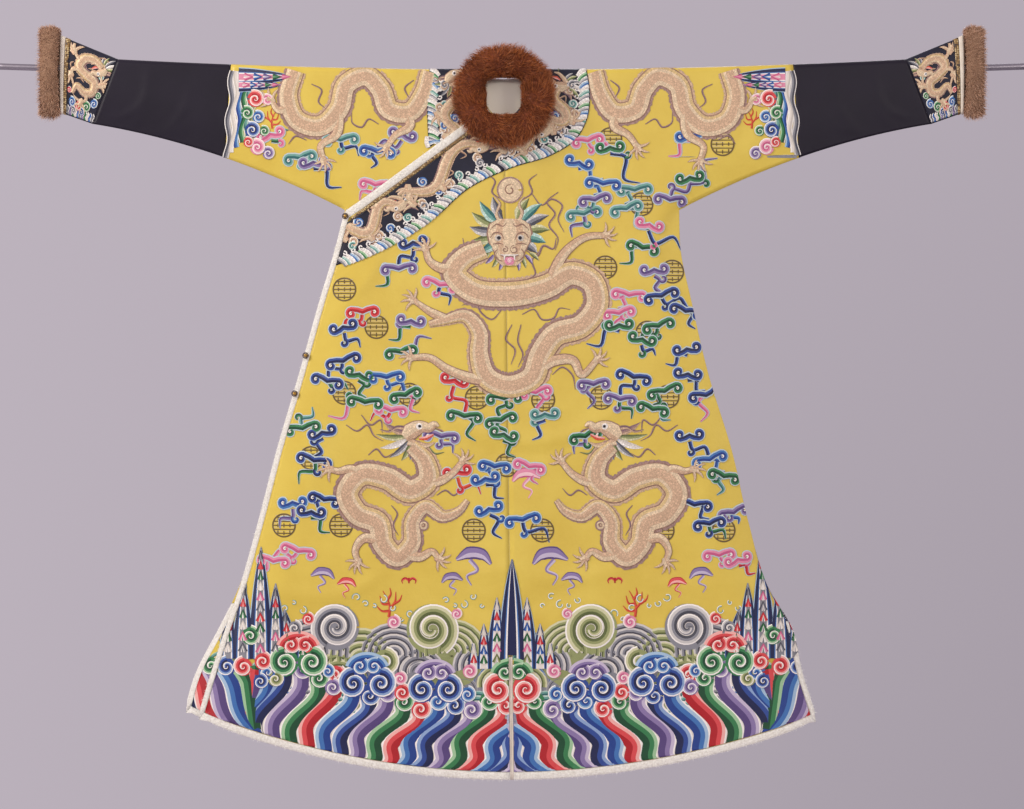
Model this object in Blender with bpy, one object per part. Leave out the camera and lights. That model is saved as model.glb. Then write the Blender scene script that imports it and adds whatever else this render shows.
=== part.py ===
"""A Chinese dragon robe hung flat on a steel display rod, in metres.

The rod's axis at the middle of its span is the origin. +Z is up and the robe's front faces -Y, so its
wearer's left side is on +X. The robe is cut as five panels: the front that lies on the wearer's left,
the overlap that crosses to the wearer's right, the under panel below it, and a back in two halves.
Every panel is a fur-lined wall that follows one hanging shape: a fold over the rod, a shallow hollow
between front and back, and side and under-sleeve seams where the two close on each other. Dark sleeve
pieces, flared cuffs, fur rolls, collar bands and edgings are built on the same shape.
"""
import bmesh
import bpy
import numpy as np
from mathutils import Matrix

for old in list(bpy.data.objects):
    bpy.data.objects.remove(old, do_unlink=True)

# Driving sizes. Depths are measured down from the rod's axis.
GAP = 0.0003  # between pieces that touch
PANEL = 0.003  # satin on a fur skin
SATIN = 0.001  # applied bands
TUBE = 0.002  # sleeve pieces and cuffs
LAYER = 0.0055  # the overlap stands this far off the under panel's face
SETTLE = (-0.02, 0.20)  # and comes down to the single layer between these distances
FOLD = 0.010  # radius of the fold over the rod
HOLLOW_TOP, HOLLOW_HEM, LENGTH = 0.0075, 0.018, 1.40  # half the hollow, widening over the length
EASE = 0.100  # the hollow closes over this width beside a seam

ROD_RADIUS, ROD_HALF, ROD_SAG = 0.00635, 1.050, 0.0158
SHOULDER, SHOULDER_RISE = 0.0102, 0.0336  # top line: height at the middle, and its rise by x squared
HEM, HEM_RISE = -1.406, 0.311  # hem line, in the same way
LEAN = 0.016  # how far the centre line stands to the wearer's right at the neck

ARMPIT_X, ARMPIT_Z = 0.334, -0.2708
SLEEVE_END = (0.561, 0.573)  # end of the yellow sleeve, at the shoulder fold and at the lower seam
CUFF_SEAM = (0.787, 0.838)  # where the cuff joins, in the same way
CUFF_END, CUFF_TOP, CUFF_LOW = 0.902, 0.0776, -0.0764
# The under-sleeve seam is the parabola through these three stations: distance from the middle, height.
SLEEVE_LOW = ((0.360, -0.257), (0.568, -0.168), (0.786, -0.108))

NECK_X, NECK_HALF, NECK_DROP, NAPE_DROP = -0.016, 0.052, 0.098, 0.018
FLAP_X, FLAP_Z, FLAP_SLOPE = -0.114, -0.114, 0.736  # a point on the diagonal edge, and its slope
HEM_FUR, SIDE_FUR, FLAP_FUR, SLIT_EDGE = 0.016, 0.012, 0.016, 0.0034
RIBBON = 0.006
VENT = 0.794  # vents and slits open at this share of the way from the armpit to the hem

# Side outlines, fur edging included.
# depth, wearer's left side, overlap's edge, under panel's edge
SIDES = (
    (0.271, 0.334, 0.334, 0.334),
    (0.350, 0.337, 0.354, 0.354),
    (0.450, 0.358, 0.384, 0.384),
    (0.600, 0.393, 0.426, 0.426),
    (0.750, 0.439, 0.470, 0.470),
    (0.900, 0.474, 0.509, 0.509),
    (1.030, 0.514, 0.546, 0.548),
    (1.100, 0.556, 0.570, 0.583),
    (1.200, 0.582, 0.602, 0.634),
    (1.300, 0.615, 0.632, 0.662),
)
DEPTH, LEFT_SIDE, OVERLAP_SIDE, UNDER_SIDE = np.array(SIDES).T

# The collar band's lower edge in front, from the wearer's left shoulder to the wearer's right side.
# x, z
BAND_FRONT = (
    (0.148, 0.060),
    (0.155, -0.030),
    (0.150, -0.090),
    (0.128, -0.130),
    (0.080, -0.162),
    (0.000, -0.188),
    (-0.084, -0.228),
    (-0.170, -0.303),
    (-0.252, -0.352),
    (-0.400, -0.410),
)
BAND_REACH, BAND_BACK_DROP = 0.148, 0.165  # across the shoulders from the neck's middle, down the back

COLOURS = {
    "yellow_satin": "#D8B63C",
    "navy_satin": "#2B2632",
    "collar_band": "#2A2B3E",
    "brown_fur": "#673016",
    "tan_fur": "#82603F",
    "white_fur": "#E8DACF",
    "cream_satin": "#C9B89F",
    "brocade": "#5D4A33",
    "steel": "#938D95",
    "gilt": "#A8793B",
}


def material(name, roughness=0.6, metallic=0.0):
    """A plain Principled material in the named colour, its sRGB hex turned to linear."""
    made = bpy.data.materials.get(name) or bpy.data.materials.new(name)
    made.use_nodes = True
    shader = made.node_tree.nodes["Principled BSDF"]
    srgb = np.array([int(COLOURS[name][i : i + 2], 16) for i in (1, 3, 5)]) / 255
    linear = np.where(srgb < 0.04045, srgb / 12.92, ((srgb + 0.055) / 1.055) ** 2.4)
    shader.inputs["Base Color"].default_value = (*linear, 1)
    shader.inputs["Roughness"].default_value = roughness
    shader.inputs["Metallic"].default_value = metallic
    return made


def add(name, points, faces, made):
    """One named object from points and faces, turned to face outwards."""
    mesh = bpy.data.meshes.new(name)
    mesh.from_pydata(np.reshape(points, (-1, 3)).tolist(), [], faces)
    shape = bmesh.new()
    shape.from_mesh(mesh)
    bmesh.ops.recalc_face_normals(shape, faces=shape.faces)
    shape.to_mesh(mesh)
    shape.free()
    mesh.materials.append(made)
    placed = bpy.data.objects.new(name, mesh)
    bpy.context.scene.collection.objects.link(placed)
    return placed


def grid_faces(rows, columns, round_rows=False, round_columns=False):
    """Quads over a grid of points, joined last to first where it closes on itself."""
    faces = []
    for i in range(rows if round_rows else rows - 1):
        for j in range(columns if round_columns else columns - 1):
            k, m = (i + 1) % rows, (j + 1) % columns
            faces.append((i * columns + j, i * columns + m, k * columns + m, k * columns + j))
    return faces


def wall(name, outer, inner, faces, made):
    """A closed wall between two sheets with the same faces: the rims join their open edges."""
    outer, inner = np.reshape(outer, (-1, 3)), np.reshape(inner, (-1, 3))
    count = len(outer)
    edges = {}
    for face in faces:
        for a, b in zip(face, face[1:] + face[:1], strict=True):
            edges[(a, b)] = edges.get((a, b), 0) + 1
    rims = [(b, a, a + count, b + count) for a, b in edges if (b, a) not in edges]
    back = [tuple(count + i for i in reversed(face)) for face in faces]
    return add(name, np.concatenate([outer, inner]), faces + back + rims, made)


def loft(name, rings, made, closed=False):
    """A solid through closed rings: its last ring meets its first, or both ends are capped flat."""
    count, around = rings.shape[:2]
    faces = grid_faces(count, around, round_rows=closed, round_columns=True)
    if not closed:
        faces += [tuple(range(around)), tuple(range((count - 1) * around, count * around))]
    return add(name, rings, faces, made)


# The hanging shape that every piece of cloth follows.
def through(stations, values, at):
    """A smooth curve through the stations, level beyond both ends."""
    slopes = np.gradient(values, stations)
    i = np.clip(np.searchsorted(stations, at) - 1, 0, len(stations) - 2)
    step = stations[i + 1] - stations[i]
    t = np.clip((at - stations[i]) / step, 0, 1)
    ends = values[i] * (1 + 2 * t) * (1 - t) ** 2 + values[i + 1] * t * t * (3 - 2 * t)
    return ends + step * (slopes[i] * t * (1 - t) ** 2 - slopes[i + 1] * t * t * (1 - t))


def top(x):
    return SHOULDER + SHOULDER_RISE * x * x


def hem(x):
    return HEM + HEM_RISE * x * x


def centre(z):
    """The centre seam, which leans from the neck to nothing at the hem."""
    return -LEAN * np.clip(1 - z / HEM, 0, 1)


def sleeve_low(x):
    """The lower seam of the sleeve, as the parabola through its three stations."""
    distance, height = np.array(SLEEVE_LOW).T
    return np.polyval(np.polyfit(distance, height, 2), np.abs(x))


def flap(x):
    return FLAP_Z + FLAP_SLOPE * (x - FLAP_X)


def eased(t):
    t = np.clip(t, 0, 1)
    return t * t * (3 - 2 * t)


def half_depth(x, z):
    """Half the robe's depth, without the overlap: the wall and the hollow, closed at seams and fold."""
    right = through(DEPTH, LEFT_SIDE, -z) - x
    left = through(DEPTH, UNDER_SIDE, -z) + x
    body, sleeve = np.minimum(right, left), z - sleeve_low(x)
    inside = np.maximum(body + sleeve + np.hypot(body, sleeve), 0)
    below = top(x) - z
    hollow = HOLLOW_TOP + (HOLLOW_HEM - HOLLOW_TOP) * eased(below / LENGTH)
    fold = np.sqrt(1 - (1 - np.clip(below / FOLD, 0, 1)) ** 2)
    closing = np.sin(np.pi / 2 * np.clip(inside / EASE, 0, 1))
    return fold * (GAP / 2 + PANEL + hollow * closing)


def over_depth(x, z):
    """The outer front layer stands off the under panel, and settles beside the centre seam."""
    fold = np.sqrt(1 - (1 - np.clip((top(x) - z) / FOLD, 0, 1)) ** 2)
    return half_depth(x, z) + fold * LAYER * eased((SETTLE[1] - x) / (SETTLE[1] - SETTLE[0]))


LAYERS = {"over": (over_depth, -1), "under": (half_depth, -1), "back": (half_depth, 1)}


def on_layer(layer, x, z, out=0.0):
    """Points on a layer's face, moved out along its slope, never across the middle plane."""
    depth, side = LAYERS[layer]
    x, z = np.broadcast_arrays(np.asarray(x, float), np.asarray(z, float))
    step = 0.0002
    by_x = (depth(x + step, z) - depth(x - step, z)) / (2 * step)
    by_z = (depth(x, z + step) - depth(x, z - step)) / (2 * step)
    slope = np.stack([-by_x, np.full(x.shape, float(side)), -by_z], axis=-1)
    slope /= np.linalg.norm(slope, axis=-1, keepdims=True)
    points = np.stack([x, side * depth(x, z), z], axis=-1) + np.asarray(out)[..., None] * slope
    points[..., 1] = side * np.maximum(side * points[..., 1], GAP / 2)
    return points


# Rod: a plain steel tube that sags in the middle, ended square.
TURN = np.linspace(0, 2 * np.pi, 20, endpoint=False)
rod_x = np.linspace(-ROD_HALF, ROD_HALF, 15)[:, None]
rod = np.stack(
    np.broadcast_arrays(
        rod_x, ROD_RADIUS * np.sin(TURN), ROD_SAG * rod_x**2 + ROD_RADIUS * np.cos(TURN)
    ),
    axis=-1,
)
loft("rod", rod, material("steel", 0.35, 0.9))

# Panels. Columns run from the centre seam to the side, closer together where the hollow closes.
SHARE = np.array([0, 1 / 3, 2 / 3, 1, 1, 1, 1])
RUN = EASE * np.array([0, 0, 0, 0, 0.45, 0.75, 1.0])
FOLD_ROWS = FOLD * (1 - np.cos(np.radians([0, 20, 42, 65, 90])))
EVEN = np.linspace(0, 1, 5)[1:]
DOWN = np.array([0.14, 0.28, 0.42, 0.56, 0.68, VENT, VENT + 0.004, 0.90, 1.0])
SLEEVE_SHARE = np.array([0.10, 0.32, 0.66, 1.0])
OVERLAP_SHARE = np.array([0, 0.144, 0.40, 0.62, 0.80, 0.91, 1.0])
OVERLAP_DOWN = np.array([0, 0.04, 0.09, 0.16, 0.25, 0.36, 0.47, 0.58, 0.70])
FLAP_SLANT = np.hypot(1, FLAP_SLOPE)
cloth = {}  # each panel's layer, x, z and faces, for the pieces that lie on it


def prism(name, outline, y_low, y_high):
    """A cutter through an outline of (x, z) points, not part of the robe."""
    ends = [np.insert(np.asarray(outline), 1, y, axis=1) for y in (y_low, y_high)]
    made = loft(name, np.array(ends), material("cream_satin"))
    made.hide_render = True
    made.display_type = "WIRE"
    return made


def cut(piece, operation, cutter):
    step = piece.modifiers.new(cutter.name, "BOOLEAN")
    step.operation = operation
    step.object = cutter


def neck_cutter(name, drop, y_low, y_high):
    """The neck hole in front or behind: half an ellipse below the shoulder fold, open above."""
    turn = np.radians(np.linspace(0, 180, 17))
    arc = np.stack([NECK_X + NECK_HALF * np.cos(turn), top(NECK_X) - drop * np.sin(turn)], axis=-1)
    right, left = NECK_X + NECK_HALF, NECK_X - NECK_HALF
    return prism(name, [(right, 0.05), *arc, (left, 0.05)], y_low, y_high)


NECK = {
    "front": neck_cutter("neck_front", NECK_DROP, -0.12, 0.0),
    "back": neck_cutter("neck_back", NAPE_DROP, 0.0, 0.12),
}


def neck_of(layer):
    return NECK["back" if layer == "back" else "front"]


def hung(name, layer, x, z, faces):
    """A panel's wall on its layer, in triangles, cut round the neck. Its sheet is kept in cloth."""
    faces = [half for a, b, c, d in faces for half in ((a, b, c), (a, c, d))]
    cloth[name] = (layer, x, z, faces)
    outer, inner = (on_layer(layer, x, z, out) for out in (0, -PANEL))
    cut(wall(name, outer, inner, faces, material("yellow_satin", 0.5)), "DIFFERENCE", neck_of(layer))


def sleeve_rows(x, low):
    """Heights of a sleeve's rows: through the fold, then evenly down to its lower seam."""
    in_fold = top(x) - FOLD_ROWS[:, None]
    return np.concatenate([in_fold, top(x) - FOLD - EVEN[:, None] * (top(x) - FOLD - low)])


def panel(name, layer, side):
    """A whole front or back with its sleeve. Returns x and z of the body's rows and columns."""
    outline = LEFT_SIDE if side > 0 else UNDER_SIDE

    def columns(z, opened):
        edge = through(DEPTH, outline, -z) - opened * (SIDE_FUR + GAP)
        middle = centre(z) + side * (GAP / 2 + opened * (SLIT_EDGE + GAP))
        return middle * (1 - SHARE) + side * (SHARE * (edge - EASE) + RUN)

    start = top(columns(np.zeros((1, 1)), 0)[0])
    upper = np.concatenate(
        [start - FOLD_ROWS[:, None], start - FOLD - EVEN[:, None] * (start - FOLD - ARMPIT_Z)]
    )
    foot = hem(columns(np.full((1, 1), -1.29), 1)[0]) + HEM_FUR + GAP
    heights = np.concatenate([upper, ARMPIT_Z + DOWN[:, None] * (foot - ARMPIT_Z)])
    opened = np.concatenate([np.zeros(len(upper)), DOWN > VENT + 0.001])[:, None]
    x = columns(heights, opened)
    rows, across = x.shape
    faces = grid_faces(rows, across)

    # The sleeve starts from the panel's last column, down to the armpit.
    share = (top(ARMPIT_X) - upper[:, -1:]) / (top(ARMPIT_X) - ARMPIT_Z)
    end = SLEEVE_END[0] + (SLEEVE_END[1] - SLEEVE_END[0]) * share
    sleeve_x = ARMPIT_X + (end - ARMPIT_X) * SLEEVE_SHARE
    sleeve_z = sleeve_rows(sleeve_x[-1], sleeve_low(sleeve_x[-1]))
    count, body = len(SLEEVE_SHARE), rows * across
    for i in range(len(share) - 1):
        for j in range(count):
            here, below = (
                (k * across + across - 1 if j == 0 else body + k * count + j - 1) for k in (i, i + 1)
            )
            faces.append((here, body + i * count + j, body + (i + 1) * count + j, below))
    all_x = np.concatenate([x.ravel(), side * sleeve_x.ravel()])
    hung(name, layer, all_x, np.concatenate([heights.ravel(), sleeve_z.ravel()]), faces)
    return x, heights


def overlap_panel():
    """The crossing front, from the neck and the diagonal edge to the hem, inside its fur edges."""
    edge = -(ARMPIT_X - SIDE_FUR - GAP)
    seam = centre(np.array(-0.1)) - GAP / 2
    start_x = seam + OVERLAP_SHARE * (edge - seam)
    start = flap(start_x) - FLAP_SLANT * (FLAP_FUR + GAP)
    foot_x = OVERLAP_SHARE * -(through(DEPTH, OVERLAP_SIDE, 1.29) - SIDE_FUR)
    foot = hem(foot_x) + HEM_FUR + GAP
    down = np.concatenate([OVERLAP_DOWN, [OVERLAP_VENT, OVERLAP_VENT + 0.004, 0.91, 1.0]])
    z = start + down[:, None] * (foot - start)
    opened = (down > OVERLAP_VENT + 0.001)[:, None]
    middle = centre(z) - GAP / 2 - opened * (SLIT_EDGE + GAP)
    x = middle + OVERLAP_SHARE * (-through(DEPTH, OVERLAP_SIDE, -z) + SIDE_FUR + GAP - middle)
    hung("front_overlap", "over", x.ravel(), z.ravel(), grid_faces(*x.shape))
    return x, z


slit_top = ARMPIT_Z + VENT * (HEM + HEM_FUR + GAP - ARMPIT_Z)
overlap_top = flap(NECK_X) - FLAP_SLANT * (FLAP_FUR + GAP)
OVERLAP_VENT = (slit_top - overlap_top) / (HEM + HEM_FUR + GAP - overlap_top)
bodies = {
    "left": ("over", 1, panel("front_left", "over", 1)),
    "under": ("under", -1, panel("front_under", "under", -1)),
    "back_left": ("back", 1, panel("back_left", "back", 1)),
    "back_right": ("back", -1, panel("back_right", "back", -1)),
    "overlap": ("over", -1, overlap_panel()),
}


# Edgings: the lining's fur turned out at the cut edges, as rounded strips that carry on the panel.
WHITE = material("white_fur", 0.9)
CREAM = material("cream_satin", 0.6)


def edging(name, layer, inner, outer, made, bulge=0.0018):
    """A strip between two lines of (x, z) points, with a rounded face, on the layer's own wall."""
    across = np.array([0, 0.3, 0.7, 1, 1, 0.7, 0])
    out = np.array([0, bulge, bulge, -0.0008, 0.0006 - PANEL, -PANEL, -PANEL])
    line = inner[:, None] + across[None, :, None] * (outer - inner)[:, None]
    rings = on_layer(layer, line[..., 0], line[..., 1], np.broadcast_to(out, line.shape[:2]))
    return loft(name, rings, made)


for label, (layer, side, (x, z)) in bodies.items():
    grid = np.stack([x, z], axis=-1)
    outwards, down = np.array([side, 0]), np.array([0, -1])
    bulge = 0.0 if label == "under" else 0.0018
    opening = np.flatnonzero(z[:, 0] < slit_top - 0.002)
    mitre = grid[-1, -1] + outwards * SIDE_FUR + down * HEM_FUR

    outer = grid[-1] + down * (GAP + HEM_FUR)
    outer[-1] = mitre + down * GAP
    edging(f"hem_fur_{label}", layer, grid[-1] + down * GAP, outer, WHITE, bulge)

    edge = grid[:, -1] if label == "overlap" else grid[opening, -1]
    outer = edge + outwards * (GAP + SIDE_FUR)
    outer[-1] = mitre + outwards * GAP
    if label == "overlap":
        outer[0] = (-ARMPIT_X, flap(-ARMPIT_X) - GAP)
        edging("side_fur_overlap", layer, edge + outwards * GAP, outer, WHITE, bulge)
        flap_edge = grid[0, 1:]
        up = np.array([-FLAP_SLOPE, 1]) / FLAP_SLANT
        outer = flap_edge + up * (GAP + FLAP_FUR)
        outer[-1] = (-ARMPIT_X + GAP, flap(-ARMPIT_X) + GAP)
        edging("flap_fur", layer, flap_edge + up * GAP, outer, WHITE, bulge)
    else:
        edging(f"vent_fur_{label}", layer, edge + outwards * GAP, outer, WHITE, bulge)

    if label != "under":
        slit = grid[opening, 0]
        slit = np.concatenate([slit, slit[-1:] + down * HEM_FUR])
        inner, outer = (slit - outwards * out for out in (GAP, GAP + SLIT_EDGE))
        edging(f"slit_edge_{label}", layer, inner, outer, CREAM, 0.0004)


# Applied pieces: bands and the ribbon are cut from their panel's own sheet, moved out.
def applied(name, panel_name, outline, made, thick=SATIN):
    """The part of a panel's sheet inside an outline of (x, z) points, moved out by a gap."""
    layer, x, z, faces = cloth[panel_name]
    outer, inner = (on_layer(layer, x, z, out) for out in (GAP + thick, GAP))
    piece = wall(name, outer, inner, faces, made)
    cut(piece, "INTERSECT", prism(f"{name}_outline", outline, -0.12, 0.12))
    cut(piece, "DIFFERENCE", neck_of(layer))


NAVY = material("collar_band", 0.55)
BROCADE = material("brocade", 0.45)
lower = np.array(BAND_FRONT)
lower_station = np.arange(len(lower), dtype=float)
fine = np.linspace(0, len(lower) - 1, 28)
lower_line = np.stack([through(lower_station, c, fine) for c in lower.T], axis=-1)
ribbon_low = FLAP_SLANT * (FLAP_FUR + 2 * GAP + RIBBON)
above_ribbon = [(-0.050, flap(-0.050) - ribbon_low), (-0.40, flap(-0.40) - ribbon_low)]
applied("collar_band_left", "front_left", [*lower_line[:17], (-0.10, -0.20), (-0.10, 0.06)], NAVY)
applied("collar_band_overlap", "front_overlap", [*lower_line, *above_ribbon[::-1], (0.05, -0.05)], NAVY)
applied(
    "flap_ribbon",
    "front_overlap",
    [
        (-0.060, flap(-0.060) + 0.01),
        (-0.40, flap(-0.40) + 0.01),
        (-0.40, flap(-0.40) - ribbon_low + GAP),
        (-0.060, flap(-0.060) - ribbon_low + GAP),
    ],
    BROCADE,
    0.0008,
)
under_side = NECK_X - BAND_REACH
applied(
    "collar_band_under",
    "front_under",
    [
        (0.02, 0.06),
        (under_side, 0.06),
        (under_side - 0.006, -0.06),
        (under_side + 0.004, flap(under_side + 0.004) + 0.004),
        (0.02, flap(0.02) + 0.004),
    ],
    NAVY,
)
turn = np.radians(np.linspace(0, 180, 17))
arc = np.stack([NECK_X + BAND_REACH * np.cos(turn), -BAND_BACK_DROP * np.sin(turn)], axis=-1)
back_outline = [(NECK_X + BAND_REACH, 0.06), *arc, (NECK_X - BAND_REACH, 0.06)]
for label in ("left", "right"):
    applied(f"collar_band_back_{label}", f"back_{label}", back_outline, NAVY)

# Neck facing: cream satin on the inside of the back, seen through the collar.
facing_x, facing_z = np.meshgrid(NECK_X + np.linspace(-0.075, 0.075, 5), np.linspace(-0.012, -0.130, 5))
facing = [on_layer("back", facing_x, facing_z, -PANEL - out) for out in (0.0006, 0.0018)]
wall("neck_facing", *facing, grid_faces(5, 5), CREAM)


# Sleeve pieces and cuffs: tubes round the rod.
HALF_ROUND = np.array([0, 0.02, 0.05, 0.10, 0.2, 0.35, 0.5, 0.65, 0.8, 0.92, 1.0])


def loop(share_of_drop, depth, x, high, low):
    """One closed ring of a sleeve: down its front from the top line and up its back."""
    z = high - share_of_drop * (high - low)
    front = np.stack([x, -depth, z], axis=-1)
    back = np.stack([x, depth, z], axis=-1)[1:][::-1]
    return np.concatenate([front, back])


def tube_normals(rings):
    """Outward directions of a tube's points, from its neighbours along and around."""
    along_it = np.gradient(rings, axis=0)
    around = np.roll(rings, -1, axis=1) - np.roll(rings, 1, axis=1)
    normal = np.cross(along_it, around)
    normal /= np.linalg.norm(normal, axis=-1, keepdims=True)
    middle = rings.mean(axis=1, keepdims=True)
    facing_out = np.sign(((rings - middle) * normal).sum(axis=(1, 2), keepdims=True))
    return normal * facing_out


def tube(name, rings, made, thick, out=0.0):
    """A wall that follows rings, its inner face thick below its outer one, moved out."""
    normal = tube_normals(rings)
    faces = grid_faces(*rings.shape[:2], round_columns=True)
    return wall(name, rings + (out + thick) * normal, rings + out * normal, faces, made)


def sleeve_ring(seam, shift):
    """A ring on the hanging shape, its x leaning from the top line to the lower seam."""
    x = seam[0] + (seam[1] - seam[0]) * HALF_ROUND + shift
    high, low = top(x), sleeve_low(x)
    z = high - HALF_ROUND * (high - low)
    return loop(HALF_ROUND, half_depth(x, z), x, high, low)


def cuff_ring(x, grow=0.0):
    """The cuff's open end: a lens with rounded top and bottom."""
    depth = (0.003 + grow) * (HALF_ROUND > 0) + 0.010 * np.sin(np.pi * HALF_ROUND) ** 0.7
    return loop(HALF_ROUND, depth, np.full(len(HALF_ROUND), x), CUFF_TOP, CUFF_LOW)


def blend(first, last, shares):
    return first + np.array(shares)[:, None, None] * (last - first)


MIRROR = np.array([-1, 1, 1])
inner_end = sleeve_ring(SLEEVE_END, GAP)
outer_end = sleeve_ring(CUFF_SEAM, -GAP / 2)
cuff_start = sleeve_ring(CUFF_SEAM, GAP / 2)
cuff_stop = cuff_ring(CUFF_END - GAP)
sleeve_piece = blend(inner_end, outer_end, (0, 0.35, 0.7, 1))
cuff = blend(cuff_start, cuff_stop, (0, 0.5, 0.83, 0.91, 1))

# Fur roll of the cuff: a thick ring round its open end.
loop_turn = np.linspace(0, 2 * np.pi, 20, endpoint=False)[:, None]
section_turn = np.linspace(0, 2 * np.pi, 8, endpoint=False)
FUR_HALF, FUR_DEEP, FUR_WIDE, FUR_THICK = 0.0815, 0.0215, 0.0205, 0.011
fur_out = FUR_THICK * np.cos(section_turn)
fur_x = CUFF_END + FUR_WIDE + GAP + FUR_WIDE * np.sin(section_turn)
fur_z = 0.006 + (FUR_HALF + fur_out) * np.cos(loop_turn)
fur_y = (FUR_DEEP + fur_out) * np.sin(loop_turn)
fur_roll = np.stack(np.broadcast_arrays(fur_x, fur_y, fur_z), axis=-1)

for side, label in ((1, "left"), (-1, "right")):
    turned = MIRROR if side < 0 else np.ones(3)
    tube(f"sleeve_piece_{label}", sleeve_piece * turned, material("navy_satin", 0.4), -TUBE)
    tube(f"cuff_{label}", cuff * turned, NAVY, -TUBE)
    tube(f"cuff_ribbon_{label}", cuff[2:4] * turned, BROCADE, 0.0008, GAP)
    tube(f"cuff_edging_{label}", blend(cuff[3], cuff[4], (0.06, 1)) * turned, CREAM, 0.0008, GAP)
    loft(f"cuff_fur_{label}", fur_roll * turned, material("tan_fur", 0.9), closed=True)

# Fur collar: a full roll round the neck whose two ends meet in front.
RING_Z, RING_RADIUS, RING_THICK, RING_DEEP = -0.046, 0.070, 0.031, 0.017
ring_turn = np.radians(np.linspace(-89.6, 269.6, 25))[:, None]
ring_section = np.linspace(0, 2 * np.pi, 10, endpoint=False)
rise = (1 + np.sin(ring_turn)) / 2
deep = RING_DEEP + 0.010 * rise**10
ring_out = RING_RADIUS + RING_THICK * np.cos(ring_section)
collar = np.stack(
    np.broadcast_arrays(
        NECK_X + ring_out * np.cos(ring_turn),
        -0.041 + 0.005 * rise + deep * np.sin(ring_section),
        RING_Z + ring_out * np.sin(ring_turn),
    ),
    axis=-1,
)
loft("fur_collar", collar, material("brown_fur", 0.9))

# Fastenings on the overlap's side edge: gilt ball buttons, each held by a cord loop.
BALL, CORD = 0.004, 0.001
# place along the edge: depth of the ball, and how far it stands in from the outer edge
FASTENINGS = ((0.284, 0.006), (0.562, 0.005), (0.638, 0.005))
for number, (depth, inset) in enumerate(FASTENINGS, 1):
    x = inset - through(DEPTH, OVERLAP_SIDE, np.array(depth))
    place = on_layer("over", x, -depth, 0.0018 + 2 * GAP + BALL)
    ball = bmesh.new()
    bmesh.ops.create_icosphere(ball, subdivisions=2, radius=BALL)
    mesh = bpy.data.meshes.new(f"button_{number}")
    ball.to_mesh(mesh)
    ball.free()
    mesh.transform(Matrix.Translation(place))
    mesh.materials.append(material("gilt", 0.35, 0.9))
    placed = bpy.data.objects.new(f"button_{number}", mesh)
    bpy.context.scene.collection.objects.link(placed)
    around = np.linspace(0, 2 * np.pi, 14, endpoint=False)[:, None]
    section = np.linspace(0, 2 * np.pi, 6, endpoint=False)
    radius = BALL + CORD + GAP + CORD * np.cos(section)
    ring = np.stack(
        np.broadcast_arrays(
            place[0] + radius * np.cos(around),
            place[1] + CORD * np.sin(section),
            place[2] + radius * np.sin(around),
        ),
        axis=-1,
    )
    loft(f"loop_{number}", ring, material("brocade", 0.6), closed=True)
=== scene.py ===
"""A Chinese dragon robe of yellow satin, hung flat on a steel rod: how it looks, in metres.

All cloth follows one hanging shape. Half the robe's depth is a function of x and z: nothing at the fold
over the rod and at the side seams, and a shallow hollow between, with soft creases added. A panel is a
grid of x and z laid on that shape. Embroidery is strokes of floss: each stroke is a path in x and z
with a width along it and tones across it, laid on the same shape and raised in its middle.
"""

import bpy
import numpy as np
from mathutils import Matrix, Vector


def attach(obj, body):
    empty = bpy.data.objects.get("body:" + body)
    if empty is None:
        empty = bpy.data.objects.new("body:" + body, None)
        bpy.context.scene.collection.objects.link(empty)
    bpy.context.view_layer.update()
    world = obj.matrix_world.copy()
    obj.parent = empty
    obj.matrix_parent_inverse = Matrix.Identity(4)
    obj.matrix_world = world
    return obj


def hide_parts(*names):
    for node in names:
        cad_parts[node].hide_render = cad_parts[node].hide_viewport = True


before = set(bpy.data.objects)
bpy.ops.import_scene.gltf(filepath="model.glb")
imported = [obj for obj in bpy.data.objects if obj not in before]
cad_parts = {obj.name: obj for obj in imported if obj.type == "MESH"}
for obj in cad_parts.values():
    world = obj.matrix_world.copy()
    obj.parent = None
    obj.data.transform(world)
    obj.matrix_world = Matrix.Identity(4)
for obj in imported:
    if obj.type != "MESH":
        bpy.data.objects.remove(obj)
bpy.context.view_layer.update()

# Rod: a drawn stainless tube, brushed along its length, that sags a little between its supports.
# Its cut ends stand clear of both cuffs.


def linear(code):
    """The linear red, green, blue and alpha of an sRGB hex: its gamma curve undone."""
    srgb = np.array([int(code[i : i + 2], 16) for i in (1, 3, 5)]) / 255
    return (*np.where(srgb < 0.04045, srgb / 12.92, ((srgb + 0.055) / 1.055) ** 2.4), 1.0)


def add(tree, kind, inputs=(), ramp=(), **settings):
    """One node with its settings; each input is given a value or linked from another node's output.

    A ramp is rows of a place from 0 to 1 and a tone."""
    made = tree.nodes.new("ShaderNode" + kind)
    for name, value in settings.items():
        setattr(made, name, value)
    for name, value in dict(inputs).items():
        if isinstance(value, bpy.types.NodeSocket):
            tree.links.new(value, made.inputs[name])
        else:
            made.inputs[name].default_value = value
    for stop, (place, tone) in zip(made.color_ramp.elements if ramp else (), ramp, strict=True):
        stop.position, stop.color = place, linear(tone)
    return made


def finish_of(name, **inputs):
    """A material's tree and shader, with the shader's own values set."""
    made = bpy.data.materials.new(name)
    made.use_nodes = True
    shader = made.node_tree.nodes["Principled BSDF"]
    for key, value in inputs.items():
        shader.inputs[key.replace("_", " ")].default_value = value
    return made, made.node_tree, shader


def lattice(rows, columns, round_rows=False, round_columns=False):
    """Quads over a grid of points numbered row by row, joined last to first where it is round."""
    i, j = np.meshgrid(
        np.arange(rows if round_rows else rows - 1),
        np.arange(columns if round_columns else columns - 1),
        indexing="ij",
    )
    k, m = (i + 1) % rows, (j + 1) % columns
    return np.stack([i, i, k, k], -1).reshape(-1, 4) * columns + np.stack([j, m, m, j], -1).reshape(-1, 4)


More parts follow.
